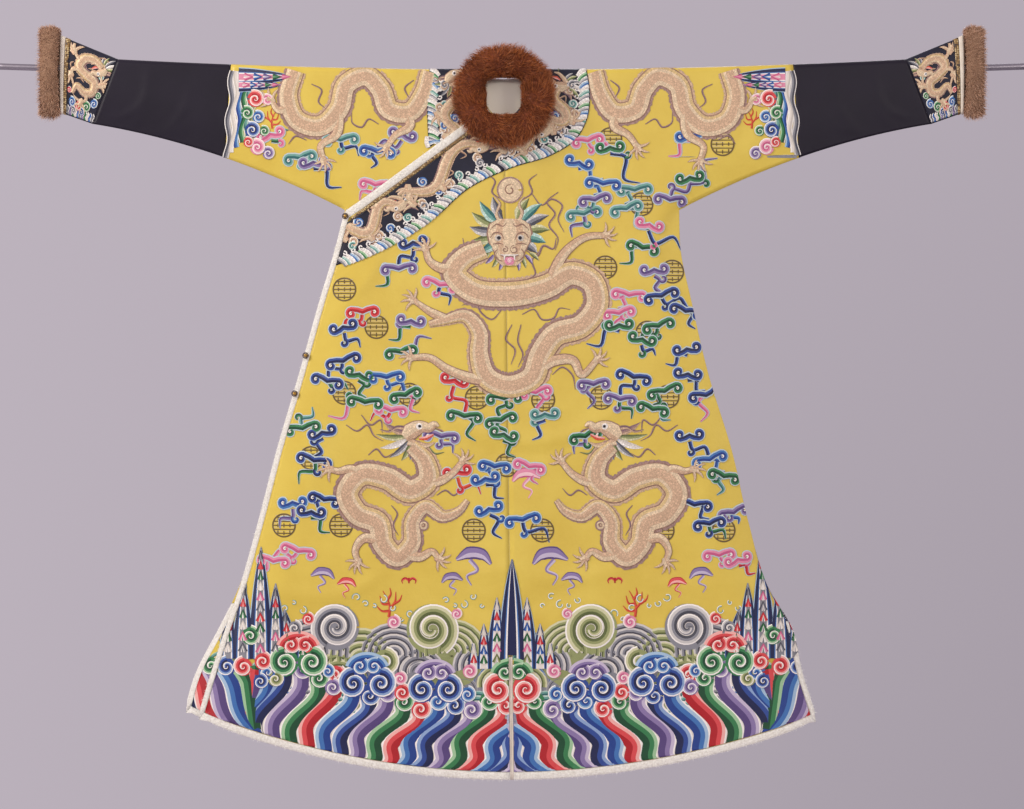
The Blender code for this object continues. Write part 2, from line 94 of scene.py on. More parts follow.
def make(name, points, faces, material, slot, replaces=(), uv=None, tones=None, inner=None):
    """A smooth mesh piece on the robe's body, from arrays; uv is for each point, tones for each face.

    Faces from number inner on take the second of two materials."""
    points = np.asarray(points, float).reshape(-1, 3)
    mesh = bpy.data.meshes.new(name)
    mesh.vertices.add(len(points))
    mesh.vertices.foreach_set("co", points.ravel())
    mesh.loops.add(faces.size)
    mesh.loops.foreach_set("vertex_index", faces.ravel().astype(np.int32))
    mesh.polygons.add(len(faces))
    mesh.polygons.foreach_set("loop_start", np.arange(0, faces.size, faces.shape[1], dtype=np.int32))
    mesh.update(calc_edges=True)
    mesh.shade_smooth()
    for each in material if isinstance(material, tuple) else (material,):
        mesh.materials.append(each)
    if inner is not None:
        which = (np.arange(len(faces)) >= inner).astype(np.int32)
        mesh.polygons.foreach_set("material_index", which)
    if uv is not None:
        mesh.uv_layers.new(name="Thread").data.foreach_set("uv", uv[faces.ravel()].ravel())
    if tones is not None:
        colour = mesh.color_attributes.new("Floss", "FLOAT_COLOR", "CORNER")
        colour.data.foreach_set("color", np.repeat(tones, faces.shape[1], axis=0).ravel())
    piece = bpy.data.objects.new(name, mesh)
    bpy.context.scene.collection.objects.link(piece)
    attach(piece, "root")
    if replaces:
        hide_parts(*replaces)
    return piece


def inside_out(points, faces):
    """Whether the volume that a closed surface's faces enclose comes out negative."""
    a, b, c = (points[faces[:, i]] for i in (0, 1, -1))
    return (a * np.cross(b - a, c - a)).sum() < 0


def capped_tube(rings):
    """Points and faces of a tube through rings with a fan on each end, the fans' middles last."""
    count, around = rings.shape[:2]
    points = np.concatenate([rings.reshape(-1, 3), rings[[0, -1]].mean(axis=1)])
    near, sides = np.arange(around), lattice(count, around, round_columns=True)
    first_cap = np.stack([near * 0 + len(points) - 2, np.roll(near, -1), near], -1)
    last_cap = np.stack([near * 0 + len(points) - 1, near, np.roll(near, -1)], -1)
    last_cap[:, 1:] += (count - 1) * around
    faces = np.concatenate([sides[:, [0, 1, 2]], sides[:, [0, 2, 3]], first_cap, last_cap])
    return points, faces[:, ::-1] if inside_out(points, faces) else faces


def round_turn(count):
    """Angles evenly round a whole turn, in radians."""
    return np.linspace(0, 2 * np.pi, count, endpoint=False)


def joined(x, y, z):
    """Points from their x, y and z, each spread over the others' grid."""
    return np.stack(np.broadcast_arrays(x, y, z), axis=-1)


ROD_RADIUS, ROD_HALF, ROD_SAG, ROD_BEVEL = 0.00635, 1.050, 0.0158, 0.0006
steel, tree, shader = finish_of("brushed_stainless", Base_Color=linear("#9A949C"), Metallic=0.9)
place = add(tree, "TexCoord").outputs["Object"]
# Brush marks: noise 0.4 mm across the tube drawn out 100 times along it.
stretched = add(tree, "Mapping", {"Vector": place, "Scale": (25.0, 2500.0, 2500.0)}).outputs[0]
marks = add(tree, "TexNoise", {"Vector": stretched, "Scale": 1.0, "Detail": 3.0}).outputs["Fac"]
rough = add(tree, "MapRange", {"Value": marks, "To Min": 0.28, "To Max": 0.46}).outputs[0]
tree.links.new(rough, shader.inputs["Roughness"])
lift = add(tree, "Bump", {"Height": marks, "Strength": 0.2, "Distance": 0.0001}).outputs[0]
tree.links.new(lift, shader.inputs["Normal"])

rod_x = np.concatenate(
    [[-ROD_HALF], np.linspace(-ROD_HALF + ROD_BEVEL, ROD_HALF - ROD_BEVEL, 61), [ROD_HALF]]
)[:, None]
rod_radius = np.where(np.abs(rod_x) == ROD_HALF, ROD_RADIUS - ROD_BEVEL, ROD_RADIUS)
rod_turn = round_turn(40)
rod_rings = joined(rod_x, rod_radius * np.sin(rod_turn), ROD_SAG * rod_x**2 + rod_radius * np.cos(rod_turn))
make("steel_rod", *capped_tube(rod_rings), steel, "steel", ["rod"])

# Yellow satin panels: two fronts, the under panel and a back in two halves, of imperial yellow silk
# satin backed with a shorn white fur, so that each is a wall 3 mm thick. They meet at seams, and hang
# nearly flat with a few soft creases.
GAP, PANEL, SATIN, TUBE = 0.0003, 0.003, 0.001, 0.002
LAYER, SETTLE = 0.0055, (-0.02, 0.20)  # the overlap stands off the under panel and settles beside it
FOLD = 0.010
HOLLOW_TOP, HOLLOW_HEM, LENGTH = 0.0075, 0.018, 1.40
EASE = 0.100
SHOULDER, SHOULDER_RISE = 0.0102, 0.0336
HEM, HEM_RISE, LEAN = -1.406, 0.311, 0.016
ARMPIT_X, ARMPIT_Z = 0.334, -0.2708
SLEEVE_END, CUFF_SEAM = (0.561, 0.573), (0.787, 0.838)
CUFF_END, CUFF_TOP, CUFF_LOW = 0.902, 0.0776, -0.0764
SLEEVE_LOW = ((0.360, -0.257), (0.568, -0.168), (0.786, -0.108))
NECK_X, NECK_HALF, NECK_DROP, NAPE_DROP = -0.016, 0.052, 0.098, 0.018
FLAP_X, FLAP_Z, FLAP_SLOPE = -0.114, -0.114, 0.736
HEM_FUR, SIDE_FUR, FLAP_FUR, SLIT_EDGE = 0.016, 0.012, 0.016, 0.0034
VENT = 0.794
# depth, wearer's left side, overlap's edge, under panel's edge
SIDES = (
    (0.271, 0.334, 0.334, 0.334),
    (0.350, 0.337, 0.354, 0.354),
    (0.450, 0.358, 0.384, 0.384),
    (0.600, 0.393, 0.426, 0.426),
    (0.750, 0.439, 0.470, 0.470),
    (0.900, 0.474, 0.509, 0.509),
    (1.030, 0.514, 0.546, 0.548),
    (1.100, 0.556, 0.570, 0.583),
    (1.200, 0.582, 0.602, 0.634),
    (1.300, 0.615, 0.632, 0.662),
)
DEPTH, LEFT_SIDE, OVERLAP_SIDE, UNDER_SIDE = np.array(SIDES).T
# Creases in millimetres: x, z, half length, half width, height outwards, and turn in degrees
FRONT_CREASES = (
    (-90, -705, 150, 12, 2.2, -24), (130, -715, 140, 12, 2.4, 22), (20, -765, 90, 18, -1.8, 4),
    (-100, -995, 110, 13, 2.4, -6), (140, -1005, 130, 15, 2.6, 9), (310, -1020, 90, 12, 2.2, -12),
    (-340, -1035, 110, 14, 2.4, 14), (-20, -1065, 160, 20, -2.2, 3), (400, -820, 120, 20, 2, 70),
    (-400, -700, 140, 22, 2.2, -72), (-170, -285, 80, 10, 1.8, 36), (240, -300, 100, 16, 2.2, -52),
    (-280, -400, 90, 12, 1.8, 60), (450, -90, 80, 14, 2.2, 78), (-460, -100, 70, 13, 2.2, -80),
    (300, -1190, 120, 20, 2, 80), (-220, -1230, 110, 18, 2.2, -84),
)
BACK_CREASES = (
    (20, -300, 200, 20, 2.2, 6), (-200, -420, 120, 14, 2.4, -34), (220, -460, 140, 16, 2.2, 40),
    (50, -720, 170, 14, 2.4, 12), (-280, -800, 150, 18, 2.2, 66), (320, -930, 160, 20, 2.4, -72),
    (-80, -1010, 150, 15, 2.2, -8), (160, -1180, 130, 18, 2, 82), (-450, -90, 80, 14, 2.2, 76),
    (470, -110, 80, 13, 2, -78),
)


def heading(degrees):
    """The cosine and sine of an angle."""
    return np.cos(np.radians(degrees)), np.sin(np.radians(degrees))


def mm(values):
    """Values drawn in millimetres, as an array in metres."""
    return np.array(values) / 1000


def through(stations, values, at):
    """A smooth curve through stations: cubic pieces whose slopes are those of their neighbours."""
    slopes = np.gradient(values, stations)
    i = np.clip(np.searchsorted(stations, at) - 1, 0, len(stations) - 2)
    step = stations[i + 1] - stations[i]
    t = np.clip((at - stations[i]) / step, 0, 1)
    ends = values[i] * (1 + 2 * t) * (1 - t) ** 2 + values[i + 1] * t * t * (3 - 2 * t)
    return ends + step * (slopes[i] * t * (1 - t) ** 2 - slopes[i + 1] * t * t * (1 - t))


def top(x):
    """The shoulder fold: its height at the middle and a rise by x squared."""
    return SHOULDER + SHOULDER_RISE * x * x


def hem(x):
    """The hem line, in the same way."""
    return HEM + HEM_RISE * x * x


def centre(z):
    """The centre seam, which leans from the neck to nothing at the hem."""
    return -LEAN * np.clip(1 - z / HEM, 0, 1)


def sleeve_low(x):
    """The sleeve's lower seam: the parabola through its three stations."""
    distance, height = np.array(SLEEVE_LOW).T
    return np.polyval(np.polyfit(distance, height, 2), np.abs(x))


def flap(x):
    """The diagonal edge of the overlap."""
    return FLAP_Z + FLAP_SLOPE * (x - FLAP_X)


def eased(t):
    """From 0 to 1 with level ends: t squared times three less two t."""
    t = np.clip(t, 0, 1)
    return t * t * (3 - 2 * t)


def creased(x, z, creases):
    """The creases' height: each is a bell along its length times a narrower bell across it."""
    total = np.zeros(np.broadcast(x, z).shape)
    for *sizes, turn in creases:
        at_x, at_z, half_length, half_width, height = mm(sizes)
        c, s = heading(turn)
        along, across = (x - at_x) * c + (z - at_z) * s, (z - at_z) * c - (x - at_x) * s
        bent = across - 0.25 * along**2 / half_length
        total += height * np.exp(-((along / half_length) ** 2) - (bent / half_width) ** 2)
    return total


def half_depth(x, z, creases=()):
    """Half the robe's depth: the wall and the hollow, closed at the seams and round the fold."""
    right = through(DEPTH, LEFT_SIDE, -z) - x
    left = through(DEPTH, UNDER_SIDE, -z) + x
    body, sleeve = np.minimum(right, left), z - sleeve_low(x)
    inside = np.maximum(body + sleeve + np.hypot(body, sleeve), 0)
    below = top(x) - z
    hollow = HOLLOW_TOP + (HOLLOW_HEM - HOLLOW_TOP) * eased(below / LENGTH)
    fold = np.sqrt(1 - (1 - np.clip(below / FOLD, 0, 1)) ** 2)
    closing = np.sin(np.pi / 2 * np.clip(inside / EASE, 0, 1))
    calm = eased(below / 0.05)
    return fold * (GAP / 2 + PANEL + closing * (hollow + calm * creased(x, z, creases)))


def under_depth(x, z):
    """The front's lower layer, with the front's creases."""
    return half_depth(x, z, FRONT_CREASES)


def over_depth(x, z):
    """The outer front layer stands off the under panel and settles beside the centre seam."""
    fold = np.sqrt(1 - (1 - np.clip((top(x) - z) / FOLD, 0, 1)) ** 2)
    return under_depth(x, z) + fold * LAYER * eased((SETTLE[1] - x) / (SETTLE[1] - SETTLE[0]))


def back_depth(x, z):
    """The back, with its own creases."""
    return half_depth(x, z, BACK_CREASES)


LAYERS = {"over": (over_depth, -1), "under": (under_depth, -1), "back": (back_depth, 1)}


def unit(vectors):
    """Vectors made one long."""
    return vectors / np.linalg.norm(vectors, axis=-1, keepdims=True)


def on_layer(layer, x, z, out=0.0):
    """Points on a layer's face, moved out along its slope, never across the middle plane."""
    depth, side = LAYERS[layer]
    x, z = np.broadcast_arrays(np.asarray(x, float), np.asarray(z, float))
    step = 0.0002
    by_x = (depth(x + step, z) - depth(x - step, z)) / (2 * step)
    by_z = (depth(x, z + step) - depth(x, z - step)) / (2 * step)
    slope = np.stack([-by_x, np.full(x.shape, float(side)), -by_z], axis=-1)
    points = np.stack([x, side * depth(x, z), z], axis=-1) + np.asarray(out)[..., None] * unit(slope)
    points[..., 1] = side * np.maximum(side * points[..., 1], GAP / 2)
    return points


def clear_of_neck(layer, x, z):
    """Points inside the neck's half ellipse pushed out to its rim, and which they are."""
    drop = NAPE_DROP if layer == "back" else NECK_DROP
    across, down = (x - NECK_X) / NECK_HALF, (z - top(NECK_X)) / drop
    reach = np.hypot(across, np.minimum(down, 0))
    inside = reach < 1
    push = np.where(inside, 1 / np.maximum(reach, 1e-6), 1)
    return NECK_X + across * push * NECK_HALF, np.where(down < 0, top(NECK_X) + down * push * drop, z), inside


def thick(outer, inner, faces):
    """A closed wall's points and faces: an outer sheet, rims along its open edges, and an inner sheet."""
    count = len(outer)
    edges = np.stack([faces, np.roll(faces, -1, axis=1)], axis=-1).reshape(-1, 2)
    is_open = ~np.isin(edges[:, 0] * count + edges[:, 1], edges[:, 1] * count + edges[:, 0])
    a, b = edges[is_open].T
    rims = np.stack([b, a, a + count, b + count], axis=-1)
    points = np.concatenate([outer, inner])
    every = np.concatenate([faces, rims, faces[:, ::-1] + count])
    return thick(outer, inner, faces[:, ::-1]) if inside_out(points, every) else (points, every)


def wall(name, layer, x, z, faces, outs, material, slot, replaces):
    """A wall on a layer, cut round the neck, between two heights above it."""
    x, z, inside = clear_of_neck(layer, np.ravel(x), np.ravel(z))
    faces = faces[~inside[faces].all(axis=1)]
    kept, faces = np.unique(faces, return_inverse=True)
    faces, x, z = faces.reshape(-1, 4), x[kept], z[kept]
    points, every = thick(*(on_layer(layer, x, z, out) for out in outs), faces)
    uv = np.tile(np.stack([x, z], axis=-1), (2, 1))
    inner = len(every) - len(faces) if isinstance(material, tuple) else None
    return make(name, points, every, material, slot, replaces, uv=uv, inner=inner)


# Silk satin is smooth and lustrous, with long floats across; its dye is a little uneven.
# The floats are 0.1 mm, too fine to show, so they are drawn as ribs 1.6 mm apart.
yellow, tree, shader = finish_of(
    "imperial_yellow_satin", Roughness=0.42, Sheen_Weight=0.25, Sheen_Roughness=0.4, Specular_IOR_Level=0.35
)
place = add(tree, "TexCoord").outputs["Object"]
clouding = add(tree, "TexNoise", {"Vector": place, "Scale": 9.0, "Detail": 4.0, "Roughness": 0.6}).outputs[0]
stained = add(tree, "ValToRGB", {"Fac": clouding}, ((0.25, "#D2B647"), (0.80, "#DFC756"))).outputs[0]
ribs = add(
    tree, "TexWave", {"Vector": place, "Scale": 0.314 / 0.0016, "Distortion": 0.6}, bands_direction="Z"
).outputs["Fac"]
# The ribs also darken and lighten the dye a little: painted shade and highlight on the floats.
ribs_painted_shade = add(
    tree, "Mix", {"Factor": 0.10, "A": stained, "B": ribs}, data_type="RGBA", blend_type="OVERLAY"
)
tree.links.new(ribs_painted_shade.outputs["Result"], shader.inputs["Base Color"])
pucker = add(tree, "TexNoise", {"Vector": place, "Scale": 160.0, "Detail": 2.0}).outputs["Fac"]
lift = add(tree, "Bump", {"Height": ribs, "Strength": 0.12, "Distance": 0.0002}).outputs[0]
lift = add(tree, "Bump", {"Height": pucker, "Strength": 0.35, "Distance": 0.0008, "Normal": lift}).outputs[0]
tree.links.new(lift, shader.inputs["Normal"])

# Shorn white lambskin faces the inside: a close, matt curl about 3 mm across.
lining, tree, shader = finish_of(
    "shorn_white_lambskin", Roughness=0.9, Sheen_Weight=0.5, Base_Color=linear("#DED0C0")
)
curl = add(
    tree, "TexVoronoi", {"Vector": add(tree, "TexCoord").outputs["Object"], "Scale": 330.0}
).outputs["Distance"]
lift = add(tree, "Bump", {"Height": curl, "Strength": 0.7, "Distance": 0.0015}).outputs[0]
tree.links.new(lift, shader.inputs["Normal"])

FOLD_ROWS = FOLD * (1 - np.cos(np.linspace(0, np.pi / 2, 9)))
COLUMNS = np.concatenate([np.linspace(0, 1, 34), np.ones(12)])
RUN = EASE * np.concatenate([np.zeros(34), np.sin(np.linspace(0, np.pi / 2, 13))[1:]])
UPPER, LOWER, ACROSS_SLEEVE = np.linspace(0, 1, 26)[1:], np.linspace(0, 1, 96)[1:], np.linspace(0, 1, 22)[1:]


def panel(side):
    """A whole front or back with its sleeve: x, z and faces, and the body's rows and columns."""
    outline = LEFT_SIDE if side > 0 else UNDER_SIDE

    def columns(z, opened):
        """The columns' x at heights z: shares of the way to the closing run, and then the run itself."""
        edge = through(DEPTH, outline, -z) - EASE
        middle = centre(z) + side * (GAP / 2 + opened * (1 - COLUMNS) ** 8 * (SLIT_EDGE + GAP))
        eased_run = RUN * (1 - opened * (SIDE_FUR + GAP) / EASE)
        return middle * (1 - COLUMNS) + side * (COLUMNS * edge + eased_run)

    start = top(columns(np.zeros((1, 1)), 0)[0])
    upper = np.concatenate(
        [start - FOLD_ROWS[:, None], start - FOLD - UPPER[:, None] * (start - FOLD - ARMPIT_Z)]
    )
    foot = hem(columns(np.full((1, 1), -1.29), 1)[0]) + HEM_FUR + GAP
    down = np.sort(np.concatenate([LOWER, [VENT, VENT + 0.002]]))
    heights = np.concatenate([upper, ARMPIT_Z + down[:, None] * (foot - ARMPIT_Z)])
    opened = np.concatenate([np.zeros(len(upper)), down > VENT + 0.001])[:, None]
    x = columns(heights, opened)
    rows, across = x.shape
    share = (top(ARMPIT_X) - upper[:, -1:]) / (top(ARMPIT_X) - ARMPIT_Z)
    end = SLEEVE_END[0] + (SLEEVE_END[1] - SLEEVE_END[0]) * share
    sleeve_x = ARMPIT_X + (end - ARMPIT_X) * ACROSS_SLEEVE
    line, low = sleeve_x[-1], sleeve_low(sleeve_x[-1])
    sleeve_z = np.concatenate(
        [top(line) - FOLD_ROWS[:, None], top(line) - FOLD - UPPER[:, None] * (top(line) - FOLD - low)]
    )
    # The sleeve's first column is the body's last one, down to the armpit.
    first = (np.arange(len(share)) * across + across - 1)[:, None]
    number = np.hstack([first, rows * across + np.arange(sleeve_x.size).reshape(sleeve_x.shape)])
    flat = lattice(*number.shape)
    faces = np.concatenate([lattice(rows, across), number.ravel()[flat]])
    all_x = np.concatenate([x.ravel(), side * sleeve_x.ravel()])
    return all_x, np.concatenate([heights.ravel(), sleeve_z.ravel()]), faces, (x, heights)


def overlap_panel():
    """The crossing front: x, z and faces, and its rows and columns."""
    share = np.concatenate([np.linspace(0, 0.8, 40), np.linspace(0.8, 1, 17)[1:]])
    edge = -(ARMPIT_X - SIDE_FUR - GAP)
    seam = centre(np.array(-0.1)) - GAP / 2
    start_x = seam + share * (edge - seam)
    start = flap(start_x) - FLAP_SLANT * (FLAP_FUR + GAP)
    foot = hem(-share * (through(DEPTH, OVERLAP_SIDE, 1.29) - SIDE_FUR)) + HEM_FUR + GAP
    down = np.sort(np.concatenate([np.linspace(0, 1, 126), [OVERLAP_VENT, OVERLAP_VENT + 0.002]]))
    z = start + down[:, None] * (foot - start)
    opened = (down > OVERLAP_VENT + 0.001)[:, None]
    middle = centre(z) - GAP / 2 - opened * (1 - share) ** 8 * (SLIT_EDGE + GAP)
    x = middle + share * (-through(DEPTH, OVERLAP_SIDE, -z) + SIDE_FUR + GAP - middle)
    return x.ravel(), z.ravel(), lattice(*x.shape), (x, z)


FLAP_SLANT = np.hypot(1, FLAP_SLOPE)
FOOT = HEM + HEM_FUR + GAP
slit_top = ARMPIT_Z + VENT * (FOOT - ARMPIT_Z)
overlap_top = flap(NECK_X) - FLAP_SLANT * (FLAP_FUR + GAP)
OVERLAP_VENT = (slit_top - overlap_top) / (FOOT - overlap_top)
# name, label of its edges, layer, side, cut: width, length and area
PANELS = (
    ("front_left", "left", "over", 1, (0.65, 1.42, 0.70)),
    ("front_under", "under", "under", -1, (0.68, 1.42, 0.73)),
    ("back_left", "back_left", "back", 1, (0.65, 1.42, 0.70)),
    ("back_right", "back_right", "back", -1, (0.68, 1.42, 0.73)),
    ("front_overlap", "overlap", "over", -1, (0.65, 1.34, 0.56)),
)
bodies, panels = {}, {}
for name, label, layer, side, (width, length, area) in PANELS:
    x, z, faces, grid = overlap_panel() if label == "overlap" else panel(side)
    bodies[label] = (layer, side, grid)
    panels[name] = wall(
        f"satin_{name}", layer, x, z, faces, (0, -PANEL), (yellow, lining), "yellow_satin", [name]
    )

# Stitches: untwisted silk floss in satin stitch, shaded in bands of three tones, and couched gold thread.
# They are worked on the satin before it is sewn, so the pattern runs on across the centre seam.
FLOSS = {
    "navy": ("#131D4A", "#2C4A94", "#8FAAD0"),
    "blue": ("#1C3F8A", "#3F74B4", "#A9C6DC"),
    "green": ("#0E4A2A", "#35804C", "#A4CD9E"),
    "red": ("#B3141F", "#DE4A4C", "#F6B4AA"),
    "pink": ("#CC5C86", "#E48FA9", "#F7CDD0"),
    "mauve": ("#57447A", "#8C7AA8", "#CBBFD4"),
    "grey": ("#4A4B54", "#8B8C92", "#D2CFC9"),
    "olive": ("#5F6A3A", "#98A068", "#D6D5A8"),
    "sea": ("#2E6B6B", "#6FA79B", "#BFDCCF"),
    "white": ("#CFC8BC", "#E9E2D6", "#FBF7EE"),
    "gold": ("#A07C66", "#D4B290", "#E4CCA8"),
    "thread": ("#7E6068", "#A5857A", "#CFAF8E"),
    "coral": ("#C23A1C", "#E0583A", "#F08A6A"),
}
HALO, FOAM, PUPIL = "#BFD0D2", FLOSS["white"][2], "#1A1A2A"
LIFT, FLOSS_OUT, PLUMP = 0.00014, 0.00045, 0.0006


def reached(line):
    """The distance along a line to each of its points: the sum of the steps before it."""
    return np.concatenate([[0], np.cumsum(np.linalg.norm(np.diff(line, axis=0), axis=1))])


def curve(points, each=8):
    """A smooth line through points: each coordinate is carried along by the distance between them."""
    points = np.asarray(points, float)
    station = reached(points)
    fine = np.linspace(0, station[-1], each * (len(points) - 1) + 1)
    return np.stack([through(station, line, fine) for line in points.T], axis=-1)


def coil(x, z, radius, turns, start, hand=1, inner=0.12, each=14):
    """A spiral: its radius falls evenly with its angle, from the start in degrees inwards."""
    t = np.linspace(0, 1, int(each * turns) + 2)
    angle = np.radians(start) + hand * 2 * np.pi * turns * t
    reach = radius * (1 - (1 - inner) * t)
    return np.stack([x + reach * np.cos(angle), z + reach * np.sin(angle)], axis=-1)


def stroke(path, width, tones, lift=0, shares=None, plump=PLUMP):
    """A ribbon of stitches: points to each side of a path by shares of its half width, one tone a band.

    Its height is a parabola across, highest in the middle."""
    path = np.asarray(path, float)
    count = len(path)
    width = np.atleast_1d(width)
    half = np.interp(np.linspace(0, 1, count), np.linspace(0, 1, len(width)), width) / 2
    tones = list(tones) * (2 if len(tones) == 1 else 1)
    shares = np.linspace(-1, 1, len(tones) + 1) if shares is None else np.asarray(shares, float)
    along = np.gradient(path, axis=0)
    along /= np.maximum(np.linalg.norm(along, axis=1, keepdims=True), 1e-9)
    left = np.stack([-along[:, 1], along[:, 0]], axis=-1)
    points = path[:, None] + left[:, None] * (half[:, None] * shares)[..., None]
    uv = np.stack(np.broadcast_arrays(reached(path)[:, None], half[:, None] * shares), axis=-1)
    rise = plump * np.minimum(half[:, None] / 0.004, 1) * (1 - shares**2) + lift * LIFT
    return {
        "points": points.reshape(-1, 2),
        "rise": rise.ravel(),
        "faces": lattice(count, len(shares)),
        "tones": np.tile([linear(tone) for tone in tones], (count - 1, 1)),
        "uv": uv.reshape(-1, 2),
    }


def set_down(strokes, x, z, size=1.0, turn=0.0, flip=1):
    """Strokes scaled, flipped left to right, turned by degrees and moved to x and z."""
    c, s = size * np.array(heading(turn))
    matrix = np.array([[flip * c, flip * s], [-s, c]])
    return [{**each, "points": each["points"] @ matrix + (x, z)} for each in strokes]


def flipped(strokes):
    """Strokes mirrored from the wearer's left to the right."""
    return set_down(strokes, 0, 0, 1, 0, -1)


def lay(name, place, strokes, material, slot, side=-1):
    """Strokes joined into one piece and mapped by a place function of x, z and height."""
    number = np.cumsum([0] + [len(each["points"]) for each in strokes])
    faces = np.concatenate([each["faces"] + n for each, n in zip(strokes, number, strict=False)])
    flat, rise, tones, uv = (
        np.concatenate([each[k] for each in strokes]) for k in ("points", "rise", "tones", "uv")
    )
    points = place(flat[:, 0], flat[:, 1], rise)
    a, b, c, d = (points[faces[:, i]] for i in range(4))
    normal = np.cross(c - a, d - b)
    # Nothing bridges the slit: a stitch on one side of the centre seam's line stays on it.
    near = np.stack([flat[:, 0] > centre(flat[:, 1]), flat[:, 1] < slit_top], axis=-1)[faces]
    bridges = (near[..., 0].any(axis=1) & ~near[..., 0].all(axis=1)) & near[..., 1].any(axis=1)
    kept = (np.linalg.norm(normal, axis=1) > 4e-9) & ~bridges
    away = normal[:, 1] * side < 0
    faces[away] = faces[away][:, ::-1]
    return make(name, points, faces[kept], material, slot, uv=uv, tones=tones[kept])


def beside_slit(x, z):
    """Places moved sideways off the slit and its edging."""
    gap = 2 * GAP + SLIT_EDGE
    at_slit = (z < slit_top) & (np.abs(x - centre(z)) < gap)
    return np.where(at_slit, centre(z) + np.where(x > centre(z), gap, -gap), x)


def on_front(x, z, rise):
    """The outer front inside its edges: the collar, the diagonal, sides and hem stop the stitches."""
    low = hem(x) + HEM_FUR + 2 * GAP
    z = np.maximum(np.minimum(z, top(x) - 0.0005), low)
    right = through(DEPTH, LEFT_SIDE, -z) - GAP - (z < slit_top) * (SIDE_FUR + GAP)
    left = -through(DEPTH, OVERLAP_SIDE, -z) + SIDE_FUR + 2 * GAP
    on_sleeve = z > sleeve_low(x) + 0.0005
    x = np.where((x > right) & ~((x > 0) & on_sleeve & (z > ARMPIT_Z)), right, np.maximum(x, left))
    return on_layer("over", beside_slit(x, z), z, FLOSS_OUT + rise)


def on_under(x, z, rise):
    """The under panel: its shoulder and sleeve above the diagonal, and its corner beside the vent."""
    z = np.maximum(np.minimum(z, top(x) - 0.0005), hem(x) + HEM_FUR + 2 * GAP)
    left = -through(DEPTH, UNDER_SIDE, -z) + SIDE_FUR + 2 * GAP
    x = np.where((z < ARMPIT_Z), np.maximum(x, left), x)
    return on_layer("under", x, z, FLOSS_OUT + rise)


def on_back(x, z, rise):
    """The back inside its edges."""
    z = np.maximum(np.minimum(z, top(x) - 0.0005), hem(x) + HEM_FUR + 2 * GAP)
    fur = (z < slit_top) * (SIDE_FUR + GAP) + GAP
    right = through(DEPTH, LEFT_SIDE, -z) - fur
    left = fur - through(DEPTH, UNDER_SIDE, -z)
    x = np.where(z < ARMPIT_Z, np.clip(x, left, right), x)
    return on_layer("back", beside_slit(x, z), z, FLOSS_OUT + rise)


def dyed_stitches(tree, shader, shade, height, strength, depth):
    """Each stroke's own tones times a painted shade and highlight, raised by a height."""
    dye = add(tree, "VertexColor", layer_name="Floss").outputs[0]
    toned = add(tree, "Mix", {"Factor": 1.0, "A": dye, "B": shade}, data_type="RGBA", blend_type="MULTIPLY")
    tree.links.new(toned.outputs["Result"], shader.inputs["Base Color"])
    lift = add(tree, "Bump", {"Height": height, "Strength": strength, "Distance": depth}).outputs[0]
    tree.links.new(lift, shader.inputs["Normal"])


floss, tree, shader = finish_of(
    "silk_floss_satin_stitch", Roughness=0.42, Sheen_Weight=0.3, Sheen_Roughness=0.35, Specular_IOR_Level=0.4
)
thread = add(tree, "UVMap", uv_map="Thread").outputs[0]
# Each stitch crosses the stroke; real ones lie 0.2 mm apart, drawn here as 1.3 mm so that they show.
stitched = add(tree, "Mapping", {"Vector": thread, "Scale": (1 / 0.0013 / 6.283, 8.0, 1.0)}).outputs[0]
stitches = add(
    tree, "TexWave", {"Vector": stitched, "Scale": 3.14, "Distortion": 1.2}, bands_direction="X"
).outputs["Fac"]
# The stitches also tint the colour: painted shade between them and a painted highlight on their crowns.
stitch_shade_highlight = add(tree, "MapRange", {"Value": stitches, "To Min": 0.80, "To Max": 1.06}).outputs[0]
dyed_stitches(tree, shader, stitch_shade_highlight, stitches, 0.35, 0.0004)

couched, tree, shader = finish_of(
    "couched_gold_thread", Roughness=0.48, Metallic=0.15, Sheen_Weight=0.2, Specular_IOR_Level=0.45
)
thread = add(tree, "UVMap", uv_map="Thread").outputs[0]
# Scales lie 5 mm apart, each with painted shade towards its rim and a painted highlight at its middle;
# between them the laid gold shows as fine bright grains, which are painted glints.
scaled = add(tree, "TexVoronoi", {"Vector": thread, "Scale": 200.0, "Randomness": 0.65}).outputs["Distance"]
grains = add(tree, "TexNoise", {"Vector": thread, "Scale": 520.0, "Detail": 2.0}).outputs["Fac"]
edges = add(
    tree, "MapRange", {"Value": scaled, "From Min": 0.25, "From Max": 0.62, "To Min": 1.06, "To Max": 0.80}
)
painted_glints = add(
    tree, "MapRange", {"Value": grains, "From Min": 0.38, "From Max": 0.66, "To Min": 0.80, "To Max": 1.22}
)
shade = add(tree, "Math", {0: edges.outputs[0], 1: painted_glints.outputs[0]}, operation="MULTIPLY").outputs[0]
dyed_stitches(tree, shader, shade, shade, 0.5, 0.0006)

# Dragons: five-clawed, of gold thread couched in scales between dark outlines. One faces forward on the
# chest and the back, two stride on each skirt, and one climbs over each shoulder onto the sleeve.
GOLD_EDGE, GOLD_BELLY = "#9C7865", "#DBBE86"


def flame(points, width=0.0036, colour="thread"):
    """A thin hooked line of fire or whisker."""
    return stroke(curve(points, 6), (width * 0.5, width, width, width * 0.3), FLOSS[colour][:2], 2)


